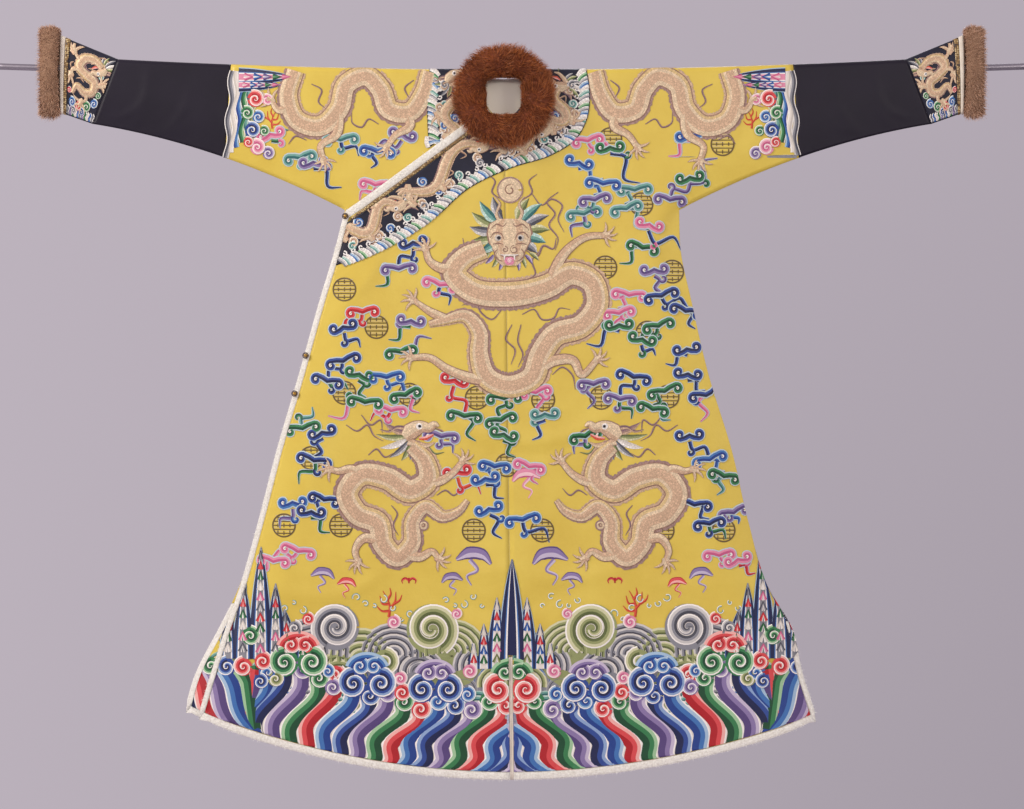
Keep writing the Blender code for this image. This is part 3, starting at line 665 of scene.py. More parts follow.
def serpent(points, widths, lift=2):
    """A dragon's body, its widths in millimetres: a toothed ridge, then dark outlines, scales and a belly."""
    path = curve(points, 12)
    station = np.linspace(0, 1, len(path))
    width = np.interp(station, np.linspace(0, 1, len(widths)), mm(widths))
    teeth = width * (1.10 + 0.16 * np.abs(np.sin(np.arange(len(path)) * 1.9)))
    _, mid, pale = FLOSS["gold"]
    return [
        stroke(path, teeth, [FLOSS["thread"][1], FLOSS["thread"][2]], lift, plump=0.0003),
        stroke(
            path, width, [GOLD_EDGE, pale, mid, mid, pale, GOLD_BELLY, GOLD_EDGE], lift + 2,
            (-1, -0.90, -0.5, 0, 0.35, 0.62, 0.90, 1), plump=0.0022,
        ),
    ]


def claw(x, z, turn, size=1.0, flip=1):
    """A dragon's foot: a pad and five hooked claws spread from it."""
    _, mid, pale = FLOSS["gold"]
    pad = mm([(-8, 0), (0, 0), (10, 0)])
    tones = [GOLD_EDGE, mid, pale, GOLD_EDGE]
    made = [stroke(pad, (0.010, 0.018, 0.010), tones, 6, (-1, -0.8, 0, 0.8, 1), plump=0.0016)]
    for angle in (-78, -36, -4, 30, 76):
        c, s = heading(angle)
        tip = (0.026 * c - 0.003 * s, 0.026 * s + 0.004 * c)
        toe = curve([(0.006 * c, 0.006 * s), (0.018 * c, 0.018 * s), tip], 4)
        tones = [GOLD_EDGE, pale, mid]
        made.append(stroke(toe, (0.0065, 0.0055, 0.0012), tones, 7, (-1, -0.6, 0.2, 1), plump=0.001))
    return set_down(made, x, z, size, turn, flip)


def leg(points, turn, width=0.024):
    """A limb from the body through its elbow to the foot."""
    path = curve(points, 7)
    mid, pale = FLOSS["gold"][1:]
    made = [
        stroke(path, np.array((1.0, 0.95, 0.7, 0.55)) * width, [GOLD_EDGE, pale, mid, GOLD_EDGE], 5,
               (-1, -0.82, 0, 0.82, 1), plump=0.0018)
    ]
    return made + claw(*points[-1], turn)


def leaf(x, z, turn, length, colour, lift=1, width=0.011):
    """A pointed lock of mane, dark along one side and pale along the other."""
    dark, mid, pale = FLOSS[colour]
    path = curve(length * np.array([(0, 0), (0.35, 0.05), (0.7, 0.02), (1, -0.06)]), 4)
    lock = stroke(path, (0.004, width, width * 0.8, 0.001), [dark, mid, pale], lift)
    return set_down([lock], x, z, 1, turn)


def dot(x, z, radius, tone, lift=8):
    """A small round patch."""
    return [stroke(coil(x, z, radius * 0.5, 1.0, 0, 1, 1.0, 12), radius, [tone], lift, plump=0.0008)]


def dragon_face():
    """A dragon's head seen from the front, about 90 mm high: locks, horns, brow, eyes, snout and jaw."""
    _, mid, pale = FLOSS["gold"]
    made = []
    for k, (turn, length) in enumerate(
        ((8, 46), (28, 52), (46, 54), (64, 48), (116, 48), (134, 54), (152, 52), (172, 46),
         (-12, 40), (192, 40), (-34, 34), (214, 34))
    ):
        c, s = heading(turn)
        colour = ("olive", "grey", "sea")[k % 3]
        made += leaf(0.030 * c, 0.012 + 0.028 * s, turn, length / 1000, colour, k % 3, 0.019)
    for side in (-1, 1):
        made.append(stroke(
            curve(mm([(16, 30), (24, 52), (18, 68), (28, 82)]) * (side, 1), 5),
            (0.009, 0.007, 0.002), [GOLD_EDGE, pale, mid], 3))
        whisker = mm([(30, -18), (52, -30), (64, -10), (82, -16), (88, 4)])
        made.append(flame(whisker * (side, 1), 0.0042))
    # The skull is one broad stroke from crown to jaw.
    made.append(stroke(
        mm([(0, 40), (0, 30), (0, 14), (0, -4), (0, -22), (0, -38), (0, -48)]),
        (0.046, 0.078, 0.088, 0.080, 0.060, 0.052, 0.030),
        [GOLD_EDGE, pale, mid, pale, pale, mid, pale, GOLD_EDGE], 4,
        (-1, -0.93, -0.6, -0.3, 0, 0.3, 0.6, 0.93, 1), plump=0.003))
    for side in (-1, 1):
        made.append(stroke(
            curve(mm([(4, 12), (16, 20), (30, 14), (36, 20)]) * (side, 1), 5),
            (0.004, 0.007, 0.003), [FLOSS["olive"][0], FLOSS["olive"][1]], 9))
        made += dot(side * 0.021, 0.004, 0.0062, FLOSS["white"][0], 22)
        made += dot(side * 0.020, 0.004, 0.0036, PUPIL, 26)
        for line in (
            [(10, 0), (16, 12), (28, 14), (36, 4)], [(12, -8), (22, -6), (32, -8)],
            [(4, 34), (12, 26), (24, 30), (34, 22)], [(22, -16), (28, -26), (22, -36), (14, -40)],
        ):
            fold = curve(mm(line) * (side, 1), 5)
            made.append(stroke(fold, (0.0012, 0.0026, 0.0012), [GOLD_EDGE], 24))
        nostril = coil(side * 0.0085, -0.018, 0.0072, 1.2, 90, side, 0.3)
        made.append(stroke(nostril, 0.0042, [GOLD_EDGE, pale], 24))
        made.append(stroke(mm([(9, -29), (10, -38)]) * (side, 1), (0.0034, 0.001), [FOAM], 30))
        for k in range(4):
            made += leaf(side * (0.014 + 0.008 * k), -0.036 + 0.004 * k, -90 + side * (12 + 14 * k), 0.022,
                         ("mauve", "olive")[k % 2], 3, 0.008)
    lip = mm([(-17, -28), (-9, -30), (9, -30), (17, -28)])
    made.append(stroke(lip, (0.003, 0.006, 0.006, 0.003), [GOLD_EDGE, FLOSS["white"][1]], 26))
    made += dot(0, -0.0385, 0.0095, FLOSS["pink"][1], 24) + dot(0, -0.038, 0.0050, FLOSS["pink"][2], 28)
    return made


def dragon_profile():
    """A dragon's head from the side, looking to +x and up, about 90 mm long."""
    _, mid, pale = FLOSS["gold"]
    made = []
    for turn, length, colour in ((150, 52, "thread"), (172, 60, "olive"), (194, 56, "white"),
                                 (216, 50, "grey"), (238, 40, "olive"), (256, 34, "grey")):
        c, s = heading(turn)
        made += leaf(-0.004 + 0.014 * c, 0.014 * s, turn, length / 1000, colour, 1, 0.013)
    horn = curve(mm([(-12, 16), (-34, 22), (-52, 16), (-68, 22)]), 5)
    made.append(stroke(horn, (0.009, 0.007, 0.002), [FLOSS["thread"][0], FLOSS["thread"][2]], 3))
    made.append(stroke(
        curve(mm([(-22, 0), (-4, 12), (16, 16), (30, 12), (42, 18), (48, 12)]), 6),
        (0.020, 0.036, 0.032, 0.022, 0.018, 0.006), [GOLD_EDGE, mid, pale, pale, GOLD_EDGE], 5,
        (-1, -0.88, -0.3, 0.2, 0.88, 1), plump=0.0026))
    made.append(stroke(
        curve(mm([(-16, -8), (4, -18), (22, -22), (36, -18)]), 6), (0.018, 0.014, 0.010, 0.003),
        [GOLD_EDGE, pale, mid, GOLD_EDGE], 4, (-1, -0.8, 0, 0.8, 1)))
    made.append(stroke(curve(mm([(6, -6), (20, -7), (36, -2)]), 5), (0.004, 0.010, 0.004),
                       [FLOSS["coral"][1], FLOSS["red"][2]], 6))
    made += dot(0.010, 0.018, 0.0065, FOAM, 22) + dot(0.011, 0.018, 0.0032, PUPIL, 26)
    made.append(flame(mm([(40, 10), (54, 2), (60, -14), (74, -16)]), 0.004))
    made.append(flame(mm([(24, -26), (34, -40), (52, -40)]), 0.0036, "olive"))
    return made


def pearl(x, z, radius=0.013):
    """A pearl: a pale disc wound in a ring, with two licks of flame."""
    made = dot(x, z, radius, FLOSS["gold"][2], 3)
    made.append(stroke(coil(x, z, radius * 0.92, 1.0, 90, 1, 1.0, 22), 0.003, [FLOSS["thread"][1]], 6))
    made.append(stroke(coil(x, z, radius * 0.5, 1.2, 0, 1, 0.3, 14), 0.003, [FLOSS["gold"][0]], 7))
    return made


def dragon(body, widths, legs, flames):
    """A dragon without its head: its body, its limbs and the flames round it, all in millimetres.

    A limb's row gives its foot's turn in degrees, its width and its joints."""
    made = serpent(mm(body), widths)
    for turn, width, *joints in legs:
        made += leg(mm(joints), turn, width / 1000)
    return made + [flame(mm(line)) for line in flames]


def central_dragon():
    """The coiled dragon of the chest and the back, seen from the front, 0.42 m across."""
    made = dragon(
        ((-55, -350), (-95, -368), (-115, -395), (-85, -428), (-10, -440), (70, -424), (120, -398),
         (160, -415), (170, -460), (140, -502), (85, -522), (58, -560), (40, -606), (-5, -624),
         (-50, -606), (-66, -560), (-66, -515), (-92, -484), (-135, -492), (-165, -500)),
        (40, 52, 54, 50, 48, 50, 50, 46, 34, 12),
        (
            (5, 24, (75, -425), (85, -392), (112, -350), (150, -325), (185, -322)),
            (105, 24, (-110, -385), (-140, -388), (-165, -372), (-172, -350)),
            (178, 24, (-30, -612), (-85, -606), (-130, -588), (-165, -566), (-200, -566)),
            (38, 24, (52, -590), (85, -572), (122, -572), (138, -600), (170, -570)),
            (150, 20, (-130, -490), (-160, -476), (-196, -452)),
        ),
        (
            ((40, -240), (60, -262), (78, -250), (100, -262), (92, -290), (104, -316)),
            ((92, -236), (70, -256), (86, -280), (74, -300), (92, -330), (86, -352)),
            ((20, -480), (44, -470), (60, -490), (84, -486), (94, -468), (116, -470)),
            ((-20, -470), (-40, -490), (-62, -476), (-74, -455), (-100, -462)),
            ((0, -500), (-12, -530), (6, -550), (-2, -580)),
            ((18, -500), (12, -535), (22, -560), (12, -585)),
            ((80, -600), (100, -585), (120, -600), (126, -630)),
            ((20, -414), (46, -400), (40, -372), (56, -352)),
        ),
    )
    made += pearl(-0.004, -0.232, 0.027)
    lick = mm([(20, -252), (40, -236), (34, -214), (50, -200)])
    made += [flame(lick * (side, 1)) for side in (-1, 1)]
    return made + set_down(dragon_face(), -0.005, -0.332, 1.06)


def striding_dragon():
    """A dragon of the skirt, its head to the middle and its body looped below, 0.34 m high."""
    made = dragon(
        ((-200, -742), (-172, -772), (-166, -808), (-200, -832), (-250, -806), (-300, -800),
         (-328, -836), (-308, -876), (-266, -896), (-256, -936), (-228, -962), (-200, -936),
         (-198, -890), (-172, -862), (-136, -882), (-104, -870), (-88, -850)),
        (30, 46, 50, 46, 48, 48, 44, 34, 26, 10),
        (
            (60, 22, (-180, -812), (-145, -812), (-118, -796), (-98, -772)),
            (185, 22, (-296, -806), (-322, -788), (-346, -792), (-362, -788)),
            (250, 22, (-262, -930), (-296, -926), (-312, -952), (-306, -972)),
            (-20, 22, (-212, -958), (-180, -962), (-158, -952), (-146, -966)),
        ),
        (
            ((-300, -680), (-280, -700), (-262, -690), (-258, -716)),
            ((-330, -700), (-308, -712), (-288, -700), (-274, -722), (-256, -732)),
            ((-286, -760), (-270, -748), (-252, -764), (-236, -756)),
            ((-240, -860), (-228, -876), (-236, -900), (-226, -920)),
            ((-150, -840), (-132, -830), (-116, -840), (-100, -826)),
        ),
    )
    made += pearl(-0.176, -0.900, 0.010)
    return made + set_down(dragon_profile(), -0.192, -0.722, 1.0, 8)


# The dragon that climbs over the shoulder fold onto the sleeve, on the wearer's left.
SHOULDER_DRAGON = dragon(
    ((166, 4), (178, -40), (205, -76), (245, -70), (262, -30), (290, -4), (330, -20), (346, -70),
     (384, -104), (428, -92), (446, -46), (432, 6)),
    (34, 42, 44, 42, 44, 44, 40, 36),
    (
        (-100, 22, (344, -78), (350, -120), (382, -146), (376, -172)),
        (-60, 22, (212, -70), (204, -104), (232, -122), (250, -146)),
        (40, 20, (436, -60), (466, -72), (480, -52)),
    ),
    (
        ((266, -100), (286, -90), (300, -106), (318, -98), (320, -76)),
        ((400, -20), (380, -32), (386, -56), (370, -70)),
        ((196, -12), (214, -28), (204, -50)),
        ((410, -132), (432, -124), (446, -140)),
    ),
)
dragons = central_dragon() + striding_dragon() + flipped(striding_dragon()) + SHOULDER_DRAGON

# Sea border: slanting stripes of deep water along the hem, then heads of curled wave, swells and foam,
# with the mountain of rock spires that stands in them at the middle and at the side seams.
STRIPE_CYCLE = ("red", "green", "mauve", "navy", "blue")
VALLEY = 0.512  # the stripes of both halves lean away from the middle and meet others here
STRIPE_TOP, STRIPE_PITCH, STRIPE_LEAN = -1.262, 0.0335, 0.105


def swirl(x, z, radius, colour, turns=1.6, start=90, hand=1, lift=0, edge="white"):
    """A filled curl: a band as wide as its own pitch wound inwards, dark outside and pale inside."""
    dark, mid, pale = FLOSS[colour]
    path = coil(x, z, radius * 0.86, turns, start, hand, 0.10, 15)
    width = radius * 0.9 / max(turns, 1) * 1.25
    tones = [FLOSS[edge][2], dark, mid, pale, FLOSS[edge][2]]
    shares = np.array((-1, -0.78, -0.25, 0.25, 0.7, 1)) * -hand
    if hand > 0:
        tones, shares = tones[::-1], shares[::-1]
    under = stroke(coil(x, z, radius * 0.5, 1.0, 0, 1, 1.0, 12), radius * 1.0, [mid], lift, plump=0.0)
    return [under, stroke(path, (width, width * 0.8, width * 0.35), tones, lift + 1, shares)]


def sea_swirl(x, z, radius, colour, hand=1, lift=6):
    """A great curling wave: a wide shaded band wound two and a half times into a disc."""
    dark, mid, pale = FLOSS[colour]
    made = [stroke(coil(x, z, radius * 0.46, 1.0, 0, 1, 1.0, 40), radius * 0.92, [mid], lift, plump=0.0)]
    path = coil(x, z, radius * 0.86, 2.1, -60 if hand > 0 else 240, hand, 0.10, 26)
    width = radius * np.array((0.42, 0.42, 0.38, 0.32, 0.14))
    tones = [FLOSS["white"][1], dark, mid, pale, FOAM]
    shares = np.array((-1, -0.86, -0.30, 0.20, 0.72, 1))
    if hand < 0:
        tones, shares = tones[::-1], -shares[::-1]
    return made + [stroke(path, width, tones[::-1], lift + 1, -shares[::-1], plump=0.0012)]


def hump(x, z, radius, colour, rings=4, lift=0):
    """A rounded swell of water: nested arches, dark at the outside and pale within."""
    dark, mid, pale = FLOSS[colour]
    disc = coil(x, z - radius * 0.15, radius * 0.5, 1.0, 0, 1, 1.0, 12)
    made = [stroke(disc, radius * 1.04, [mid], lift - 1, plump=0.0)]
    for k in range(rings):
        reach = radius * (1 - k / rings)
        arch = np.radians(np.linspace(-12, 192, 14))
        path = np.stack([x + reach * np.cos(arch), z + 0.9 * reach * np.sin(arch)], axis=-1)
        made.append(stroke(path, radius / rings * 1.05, [pale, mid, dark, FLOSS["white"][1]], lift + k % 2,
                           (-1, -0.4, 0.2, 0.72, 1)))
    return made


def fungus_head(x, z, size, first, second, lift=16):
    """A three-lobed head above the stripes: two great curls below and a crown of a second colour."""
    made = []
    for side in (-1, 1):
        low, high = np.array(((side * 24, -12, 25), (side * 12, 18, 14))) * size / 1000 + (x, z, 0)
        made += swirl(*low, first, 1.5, 90, -side, lift) + swirl(*high, second, 1.2, 60, side, lift + 3)
    dark, mid, pale = FLOSS[second]
    arch = np.radians(np.linspace(10, 170, 18))
    crown = np.stack([x + 0.030 * size * np.cos(arch), z + size * (0.012 + 0.022 * np.sin(arch))], axis=-1)
    return made + [stroke(crown, 0.017 * size, [pale, mid, dark, FOAM], lift + 2, (-1, -0.4, 0.1, 0.75, 1))]


def peak(x, foot, height, half, colours, lift=0, lean=0.0):
    """A rock spire: a long wedge of nested tones that narrow to its tip, barred with chevrons."""
    path = np.stack([x + lean * np.linspace(1, 0, 9) ** 2, foot + height * np.linspace(1, 0, 9)], axis=-1)
    dark = FLOSS["navy"][0]
    _, blue, sky = FLOSS["blue"]
    widths = 2 * half * np.array((0.04, 0.40, 0.64, 0.82, 0.95, 1.0))
    inner = FLOSS[colours[0]][1] if colours else dark
    made = [
        stroke(path, widths, [sky, dark, dark, blue, FOAM, inner, FOAM, blue, dark, dark, sky], lift,
               (-1, -0.90, -0.72, -0.54, -0.44, -0.32, 0.32, 0.44, 0.54, 0.72, 0.90, 1), plump=0.0012)
    ]
    steps = max(int(height / 0.022), 2) if colours else 0
    for k in range(steps):
        share = (k + 0.7) / (steps + 0.8)
        reach = half * 0.26 * np.interp(share, (0, 0.4, 0.7, 1), (0.1, 0.66, 0.9, 1.0))
        at_z, at_x = foot + height * (1 - share), x + lean * (1 - share) ** 2
        tone = FLOSS[colours[k % len(colours)]]
        chevron = [(at_x - reach, at_z - 0.010), (at_x, at_z + 0.004), (at_x + reach, at_z - 0.010)]
        made.append(stroke(chevron, 0.0085, [FOAM, tone[1], tone[0]], lift + 14, (-1, -0.55, 0.2, 1)))
    return made


def mountain(x, foot, size=1.0):
    """The mountain that rises from the sea: a tall spire with lower ones beside it."""
    bars = ("white", "red", "blue", "green", "pink", "olive")
    made = []
    for side in (-1, 1):
        for lift, sizes in ((1, (76, 55, 16)), (2, (56, 90, 18)), (3, (30, 142, 22))):
            offset, height, half = mm(sizes) * size
            made += peak(x + side * offset, foot, height, half, bars, lift)
    return made + peak(x, foot, 0.218 * size, 0.030 * size, (), 8)


def stripe(x, z, tone, side, lift):
    """One stripe of water along a path: dark on the side towards the seam, foam at both edges."""
    dark, mid, pale = FLOSS[tone]
    tones, shares = [FOAM, pale, mid, dark, FLOSS["white"][1]], np.array((-1, -0.80, -0.42, 0.10, 0.88, 1))
    if side < 0:
        tones, shares = tones[::-1], -shares[::-1]
    return stroke(np.stack([side * x, z], axis=-1), STRIPE_PITCH * 1.06, tones, lift, shares, plump=0.0012)


def standing_water(side):
    """The stripes of deep water from the middle to a side seam: each waves upwards and ends in a curl.

    Inside the valley they lean outwards on their way down, beyond it inwards."""
    made = []
    t = np.linspace(0, 1, 34)
    count = int(VALLEY / STRIPE_PITCH) + 4
    for k in range(-4, count):
        start = (k + 0.5) * STRIPE_PITCH
        tone = STRIPE_CYCLE[k % len(STRIPE_CYCLE)]
        height = STRIPE_TOP + 0.075 * eased((start - 0.16) / 0.30) + 0.010 * np.sin(k * 2.1)
        z = -1.425 + t * (height + 1.425)
        x = start + STRIPE_LEAN * (1 - t) + 0.0125 * np.sin(2 * np.pi * (1.9 * t + 0.10) + 0.4 * k / count)
        x = np.clip(x, -0.004, VALLEY + 0.03 * (1 - t))
        made.append(stripe(x, z, tone, side, k % 2))
        made[-1]["points"][:, 0] = side * np.maximum(side * made[-1]["points"][:, 0], 0.001)
        if 0 < start < VALLEY - 0.01:
            made += swirl(side * (x[-1] - 0.004), z[-1] + 0.004, 0.0185, tone, 1.25, 60, side, 8 + k % 3)
    for k in range(6):
        start = VALLEY + 0.012 + k * STRIPE_PITCH
        x = start + 0.125 * t + 0.0085 * np.sin(2 * np.pi * (1.6 * t + 0.3)) - 0.100
        x, z = np.maximum(x, VALLEY - 0.012 + 0.03 * t), -1.410 + t * 0.225
        made.append(stripe(x, z, STRIPE_CYCLE[(k * 3 + 1) % len(STRIPE_CYCLE)], side, 3 + k % 2))
        if k < 4:
            colour = ("red", "navy", "green", "red")[k]
            made += swirl(side * (start + 0.010), z[-1] + 0.004, 0.018, colour, 1.25, 90, -side, 12)
    return made


def half_sea(side):
    """Half of the sea border above the stripes: swells, great curls, heads, and the mountain at the side."""
    made = []
    # Low swells fill the ground between the curls and the stripes.
    for row in range(4):
        for k in range(11 + row // 2):
            x, z = 0.040 + 0.056 * k - 0.026 * (row % 2), -1.135 - 0.040 * row + 0.012 * np.sin(2.3 * k + row)
            colour = ("grey", "olive", "sea", "grey", "blue")[(k + 2 * row) % 5]
            if x > 0.01:
                made += hump(side * x, z, 0.036, colour, 3, row * 2 - 8)
    for x, z, radius, colour, rings in (
        (62, -1180, 50, "grey", 4), (120, -1150, 64, "olive", 5), (235, -1155, 62, "grey", 5),
        (300, -1165, 60, "olive", 4), (395, -1150, 68, "grey", 5), (455, -1160, 50, "grey", 4),
        (185, -1190, 45, "grey", 3), (345, -1200, 45, "olive", 3), (28, -1215, 36, "olive", 3),
    ):
        made += hump(*mm((side * x, z, radius)), colour, rings, x // 50 % 3)
    made += sea_swirl(side * 0.160, -1.106, 0.054, "olive", -side)
    made += sea_swirl(side * 0.350, -1.102, 0.050, "grey", side, 9)
    made += swirl(side * 0.252, -1.172, 0.026, "olive", 1.4, 90, side, 8)
    made += fungus_head(side * 0.153, -1.212, 1.1, "navy", "mauve")
    made += fungus_head(side * 0.288, -1.200, 1.15, "navy", "blue")
    made += fungus_head(side * 0.425, -1.158, 1.15, "green", "red")
    for x, z, radius, colour in (
        (88, -1236, 15, "blue"), (218, -1232, 16, "red"), (222, -1204, 13, "pink"),
        (356, -1222, 16, "mauve"), (366, -1190, 13, "blue"), (495, -1170, 17, "red"),
        (470, -1205, 15, "olive"), (520, -1120, 18, "green"), (84, -1190, 14, "pink"),
        (110, -1076, 10, "pink"), (235, -1092, 13, "pink"), (405, -1086, 12, "red"),
        (432, -1104, 14, "grey"), (500, -1210, 14, "navy"),
    ):
        made += swirl(*mm((side * x, z, radius)), colour, 1.3, 90, side, 14)
    # Rings of foam spring from the crests.
    for k in range(24):
        x = 0.060 + 0.0178 * k
        z = -1.066 + 0.012 * np.sin(k * 1.9) - 0.016 * np.cos(x * 33)
        ring = coil(side * x, z, 0.0045 + 0.002 * (k % 3), 0.8, 40 * k, side, 0.5, 10)
        made.append(stroke(ring, 0.0030, [FOAM, FLOSS["sea"][1]], 3 + k % 2))
    for offset, height, half, lean in mm([
        (415, 66, 20, 10), (445, 100, 20, 8), (470, 150, 22, 0),
        (500, 222, 26, 0), (535, 150, 24, 0), (565, 100, 20, 0),
    ]):
        bars = ("grey", "red", "green", "white", "pink")
        made += peak(side * offset, -1.165, height, half, bars, int(offset * 10), side * lean)
    return made


sea = [each for side in (-1, 1) for each in standing_water(side) + half_sea(side)]
sea += mountain(0, -1.185) + fungus_head(0, -1.212, 1.15, "red", "green")
corner = [each for each in sea if each["points"][:, 0].min() < -0.50]

# Clouds and creatures: ribbon clouds with curled heads in two or three colours, and between them and the
# sea, coral, bats and flat-topped fungus. Waves and a small mountain also edge the end of each sleeve.
# A cloud's row gives its colours from the head down, then x and z in mm of each bar and of its tail's end.
CLOUDS = (
    ("pink green navy", 150, -126, 196, -154, 256, -218),
    ("blue blue mauve sea", 132, -184, 182, -212, 164, -244, 126, -284),
    ("sea sea pink navy", 244, -224, 226, -262, 272, -308, 338, -352),
    ("mauve green mauve", 316, -244, 356, -214, 410, -168),
    ("blue pink", 356, -128, 312, -164),
    ("sea mauve", 142, -272, 120, -326),
    ("green green", 262, -340, 214, -378),
    ("mauve navy navy navy", 284, -398, 296, -436, 348, -466, 366, -508),
    ("pink pink green navy", 234, -434, 212, -470, 214, -508, 148, -538),
    ("green green navy", 290, -496, 258, -536, 286, -562),
    ("navy navy", 350, -556, 306, -578),
    ("navy mauve green", 244, -598, 216, -642, 238, -688),
    ("mauve mauve", 162, -612, 150, -668),
    ("navy navy pink", 350, -606, 386, -634, 376, -694),
    ("green green sea", 302, -626, 282, -662, 316, -690),
    ("pink sea navy", 46, -628, 66, -686, 40, -730),
    ("red green green", -116, -618, -94, -676, -72, -732),
    ("green green green", -16, -640, -24, -684, -18, -726, 6, -764),
    ("blue blue navy", -34, -776, -52, -814, -16, -846),
    ("blue navy", -44, -874, -20, -926),
    ("blue navy", 20, -882, 74, -934),
    ("pink pink", 36, -776, 52, -818),
    ("navy blue green sea", 354, -728, 392, -762, 424, -796, 408, -840),
    ("navy navy green", 364, -852, 392, -890, 426, -928),
    ("mauve blue", 440, -868, 452, -898),
    ("navy mauve green", -196, -344, -226, -382, -272, -424),
    ("pink navy", -142, -414, -126, -462),
    ("red navy navy", -298, -468, -334, -512, -302, -546),
    ("mauve green", -202, -500, -246, -530),
    ("navy navy green", -338, -566, -366, -606, -326, -630),
    ("green mauve", -222, -548, -160, -528),
    ("green green pink", -306, -606, -292, -648, -366, -682),
    ("blue green pink", -250, -598, -214, -634, -184, -676),
    ("pink red", -240, -664, -282, -692),
    ("navy navy green", -376, -722, -392, -764, -424, -818),
    ("green sea", -418, -700, -398, -664),
    ("navy navy green", -372, -842, -400, -880, -362, -914),
    ("blue mauve", -436, -862, -462, -906),
    ("mauve mauve", -140, -716, -118, -756),
    ("green mauve", 144, -716, 124, -758),
    ("red coral", -108, -800, -62, -838),
    ("pink pink pink", -424, -944, -474, -964, -502, -990),
    ("pink pink red", 412, -952, 452, -976, 486, -996),
)
UNDER_CLOUDS = (
    ("sea mauve navy", -424, -160, -396, -184, -340, -226),
    ("mauve blue navy", -220, -128, -268, -148, -282, -188),
    ("sea navy", -342, -124, -306, -164),
    ("pink pink", -272, -214, -304, -252),
    ("pink green", -480, -128, -446, -112),
)


def outlined(colour):
    """Tones and shares of a cloud's stroke: a pale outline, a dark side and a lighter side."""
    return {"tones": [HALO, *FLOSS[colour][:2], HALO], "shares": (-1, -0.66, 0.06, 0.66, 1)}


def bar(x, z, reach, turn, colour, lift):
    """A cloud's bar with a curl at each end, pale round a dark line, and a white eye in each curl."""
    radius = 0.0088
    right = coil(reach, -radius, radius, 0.90, 90, -1, 0.40)
    middle = [(-reach * 0.45, -radius * 0.25), (0, -radius * 0.7), (reach * 0.45, -radius * 0.25)]
    path = np.concatenate([(right * (-1, 1))[::-1], middle, right])
    width = (0.006, 0.0125, 0.0110, 0.0150, 0.0110, 0.0125, 0.006)
    made = [stroke(path, width, lift=lift, **outlined(colour))]
    for side in (-1, 1):
        eye = coil(side * reach, -radius, radius * 0.42, 0.8, 90, -side, 0.3)
        made.append(stroke(eye, (0.0030, 0.0018), [FOAM], lift + 2))
    return set_down(made, x, z, 1, turn)


def ribbon_cloud(colours, places, number):
    """A ribbon cloud: bars at all places but the last, joined by a waving stem that ends there in a tail."""
    tones = [*colours.split(), *colours.split()[-1:] * 3]
    made = []
    for k, (a, b) in enumerate(zip(places[:-1] - (0, 0.005), places[1:], strict=True)):
        along, hand = b - a, 1 if (k + number) % 2 else -1
        across = np.array([-along[1], along[0]]) * 0.20 * hand
        last = k == len(places) - 2
        path = curve([a, a + along * 0.3 + across, a + along * 0.66 - across, b], 5)
        width = (0.010, 0.011, 0.009, 0.003) if last else (0.011, 0.010, 0.011)
        made.append(stroke(path, width, lift=k, **outlined(tones[k + last])))
        outward = unit(across)
        start = np.degrees(np.arctan2(-outward[1], -outward[0]))
        bend = a + along * 0.3 + across * 0.9
        hook = coil(*(bend + outward * 0.0075), 0.0075, 0.8, start, hand, 0.35)
        made.append(stroke(hook, (0.009, 0.010, 0.005), lift=k + 1, **outlined(tones[k])))
    for k, place in enumerate(places[:-1]):
        turn = (10, -14, 4, -6, 16)[(k * 2 + number) % 5] + (180 if (k + number) % 3 == 1 else 0)
        made += bar(*place, (0.023, 0.019, 0.026)[(k + number) % 3], turn, tones[k], 3 + 3 * k)
    return made


def clouds_of(table):
    """All the clouds of a table, each with its own number for its turns."""
    made = []
    for number, (tones, *places) in enumerate(table):
        made += ribbon_cloud(tones, mm(places).reshape(-1, 2), number)
    return made


def toadstool(x, z, colour, size=1.0, flip=1):
    """A flat-topped fungus of long life: a pale cap with a dark rim on a curling stem."""
    dark, mid, pale = FLOSS[colour]
    cap = curve(mm([(-24, -2), (-14, 10), (4, 13), (22, 4)]), 5)
    stem = curve(mm([(4, 4), (-6, -10), (8, -18), (2, -30)]), 5)
    made = [
        stroke(cap, (0.004, 0.016, 0.017, 0.004), [dark, pale, mid, dark], 1, (-1, -0.7, 0, 0.75, 1)),
        stroke(stem, (0.006, 0.004, 0.002), [mid, pale], 0),
    ]
    return set_down(made, x, z, size, 0, flip)


def bat(x, z):
    """A small red bat: two hooked wings on a short body."""
    dark, mid, _ = FLOSS["red"]
    made = [stroke(mm([(0, 6), (0, -5)]), (0.004, 0.003), [dark], 1)]
    for side in (-1, 1):
        wing = curve(mm([(0, 0), (7, 5), (14, 0), (12, -6)]) * (side, 1), 4)
        made.append(stroke(wing, (0.004, 0.005, 0.001), [dark, mid], 0))
    return set_down(made, x, z)


def coral(x, z, size=1.0):
    """A branch of red coral."""
    made = []
    for line in (
        [(0, -30), (2, -10), (-4, 8), (-12, 22)], [(1, -14), (12, 0), (14, 20)],
        [(2, -4), (-12, -4), (-18, 12)], [(10, -4), (22, 4), (26, 14)],
        [(-3, 4), (4, 16), (2, 28)], [(0, -18), (-14, -18), (-24, -8)],
    ):
        made.append(stroke(curve(mm(line), 4), (0.006, 0.004, 0.0015), FLOSS["coral"][:2], 1))
    return set_down(made, x, z, size)


